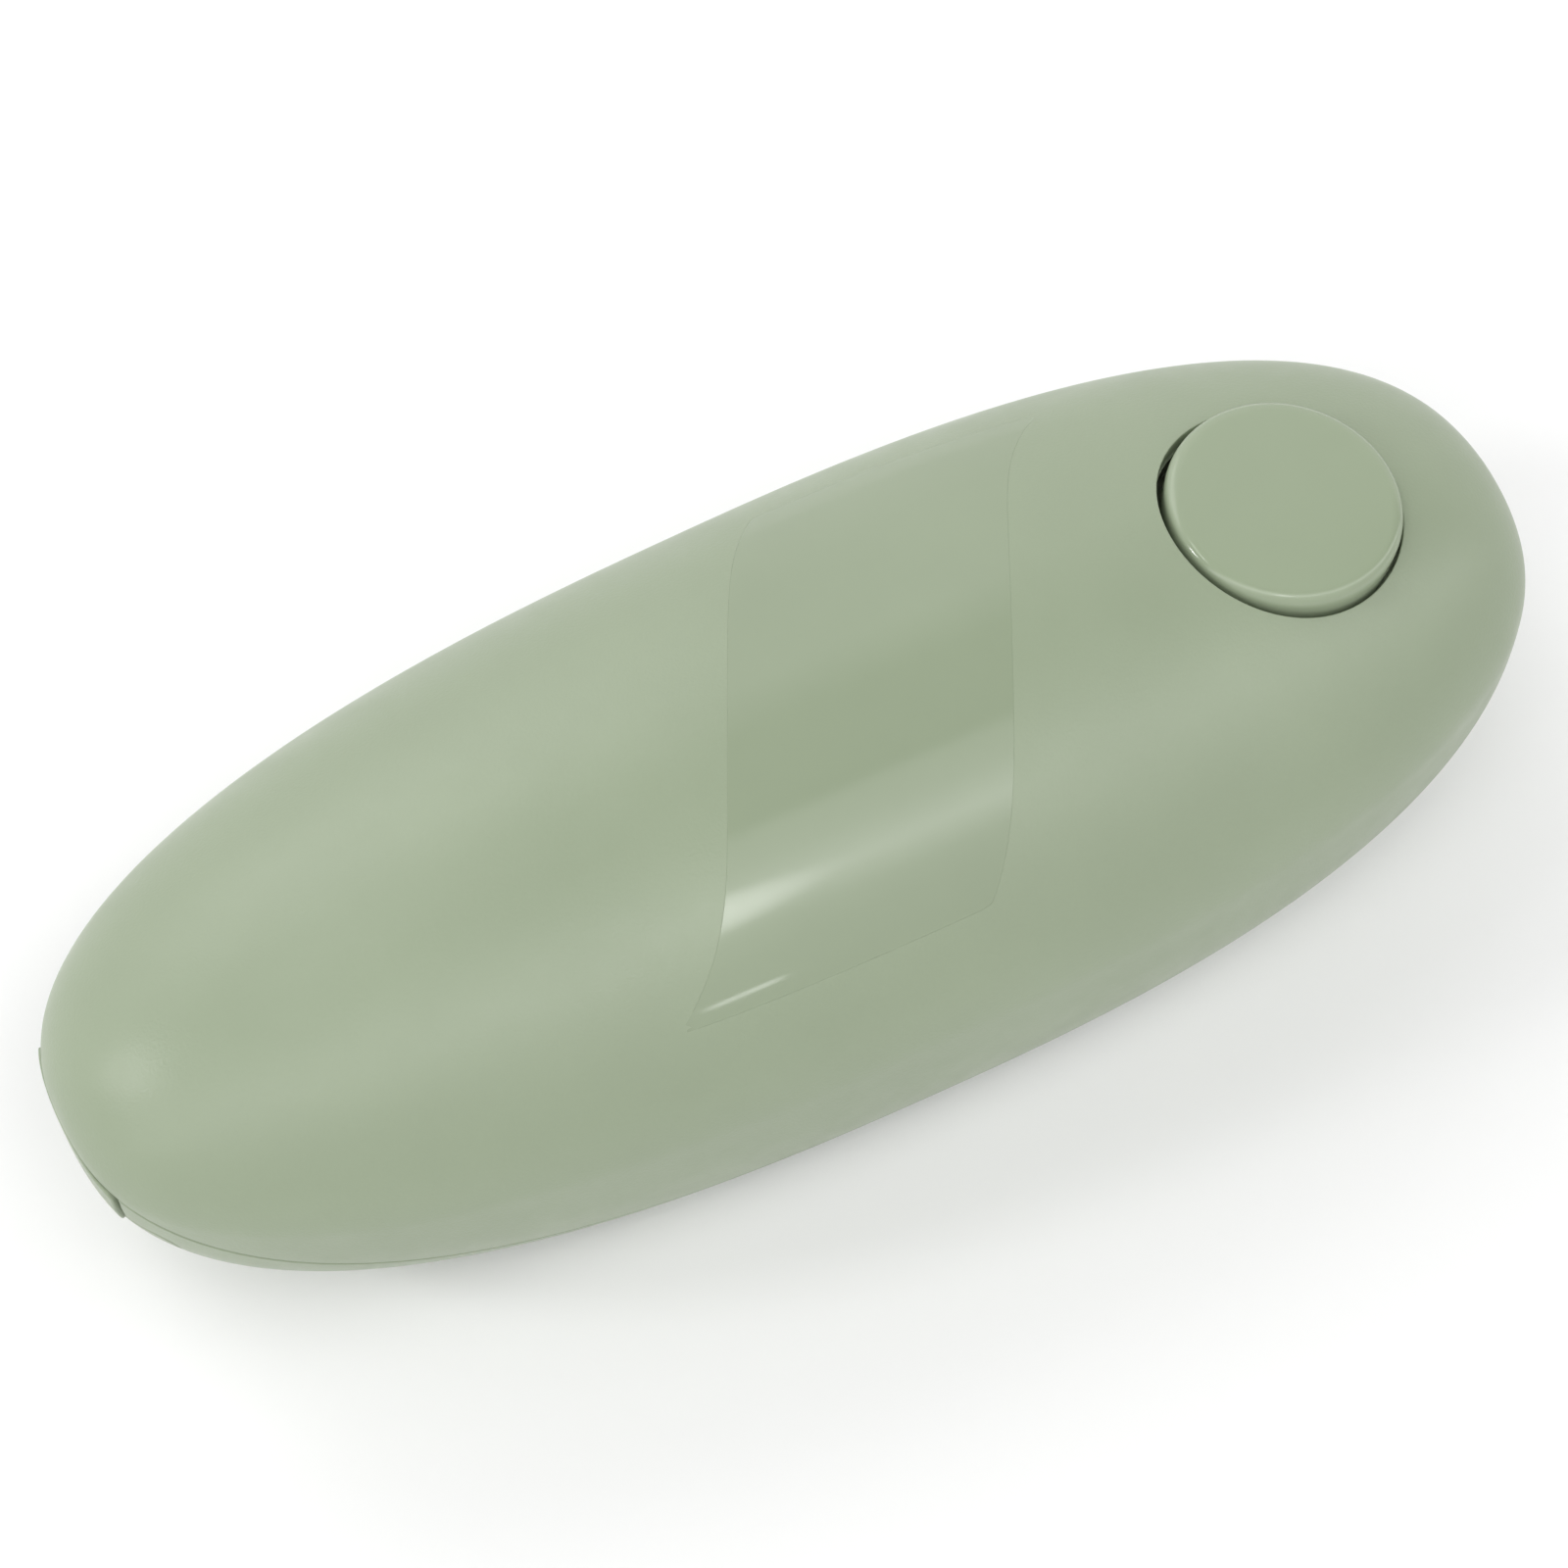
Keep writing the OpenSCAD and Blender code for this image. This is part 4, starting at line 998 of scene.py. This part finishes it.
def add_sky():
    """Even white studio with a soft box above and a dark gap beyond it."""
    world = bpy.data.worlds.new("studio")
    world.use_nodes = True
    tree = world.node_tree
    place = tree.nodes.new("ShaderNodeTexCoord")
    split = tree.nodes.new("ShaderNodeSeparateXYZ")
    angle = tree.nodes.new("ShaderNodeMath")
    angle.operation = "ARCTAN2"
    share = tree.nodes.new("ShaderNodeMapRange")
    share.inputs["From Min"].default_value = -pi / 2
    share.inputs["From Max"].default_value = pi / 2
    ramp = tree.nodes.new("ShaderNodeValToRGB")
    stops = ramp.color_ramp.elements
    while len(stops) < len(STUDIO_BANDS):
        stops.new(0.5)
    top = max(level for _, level in STUDIO_BANDS)
    for stop, (degrees_off, level) in zip(stops, STUDIO_BANDS):
        stop.position = 0.5 + degrees_off / 180
        stop.color = (level / top, level / top, level / top, 1)
    toward = tree.nodes.new("ShaderNodeVectorMath")
    toward.operation = "DOT_PRODUCT"
    toward.inputs[1].default_value = Vector(BAND_SPOT_AT).normalized()
    spot = tree.nodes.new("ShaderNodeMapRange")
    spot.interpolation_type = "SMOOTHERSTEP"
    spot.inputs["From Min"].default_value = cos(radians(BAND_SPOT_REACH))
    spot.inputs["From Max"].default_value = 1
    spot.inputs["To Max"].default_value = BAND_SPOT_LEVEL / top
    lit = tree.nodes.new("ShaderNodeMix")
    lit.data_type = "RGBA"
    lit.blend_type = "ADD"
    lit.inputs["Factor"].default_value = 1
    background = tree.nodes["Background"]
    background.inputs["Strength"].default_value = STUDIO_STRENGTH * top
    tree.links.new(place.outputs["Generated"], split.inputs["Vector"])
    tree.links.new(split.outputs["Y"], angle.inputs[0])
    tree.links.new(split.outputs["Z"], angle.inputs[1])
    tree.links.new(angle.outputs["Value"], share.inputs["Value"])
    tree.links.new(share.outputs["Result"], ramp.inputs["Fac"])
    tree.links.new(place.outputs["Generated"], toward.inputs[0])
    tree.links.new(toward.outputs["Value"], spot.inputs["Value"])
    tree.links.new(ramp.outputs["Color"], lit.inputs["A"])
    tree.links.new(spot.outputs["Result"], lit.inputs["B"])
    tree.links.new(lit.outputs["Result"], background.inputs["Color"])
    bpy.context.scene.world = world


def add_studio():
    add_sky()
    add_light("tail_box", (-1.03, 0.3, 0.8), (-0.084, 0, 0.045), (0.2, 0.2), 3.0)
    add_light("long_box", (-0.33, 0.33, 1.25), (0, 0, 0.05), (0.5, 0.12), 0.95)
    add_light("wide_box", (-0.2, 1.0, 0.9), (0, 0, 0.03), (0.8, 0.8), 3.0)
    add_light("streak_box", (0.1, -0.95, 0.85), (-0.02, -0.025, 0.048), (0.08, 0.035), 0.045)
    bpy.context.scene.view_settings.view_transform = "Standard"
    bpy.context.scene.view_settings.look = "None"


CAMERA_AZIMUTH = radians(-26.98)
CAMERA_ELEVATION = radians(62.82)
CAMERA_DISTANCE = 0.5478
CAMERA_LENS = 108
CAMERA_SENSOR = 36
CAMERA_SHIFT = (-0.0097, 0.0057)


def add_camera():
    data = bpy.data.cameras.new("photo_view")
    data.lens = CAMERA_LENS
    data.sensor_width = CAMERA_SENSOR
    data.shift_x, data.shift_y = CAMERA_SHIFT
    data.clip_start, data.clip_end = 0.01, 20
    camera = bpy.data.objects.new("photo_view", data)
    level = cos(CAMERA_ELEVATION)
    back = Vector((sin(CAMERA_AZIMUTH) * level, -cos(CAMERA_AZIMUTH) * level, sin(CAMERA_ELEVATION)))
    aim = Vector((0, 0, EQ_Z * MM))
    camera.location = aim + CAMERA_DISTANCE * back
    camera.rotation_euler = (-back).to_track_quat("-Z", "Y").to_euler()
    bpy.context.scene.collection.objects.link(camera)
    bpy.context.scene.camera = camera


# ---------------------------------------------------------------- scene


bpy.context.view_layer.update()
dress_cad_nodes()
casing_form = form_grid()
build_top_shell(casing_form)
build_gloss_band(casing_form)
build_bottom_shell(casing_form)
build_battery_door(casing_form, form_grid(LIP_SPREAD))
build_start_button()
build_button_spring()
build_feet()
build_drive_wheel()
build_cutter_wheel()
add_floor()
add_studio()
add_camera()
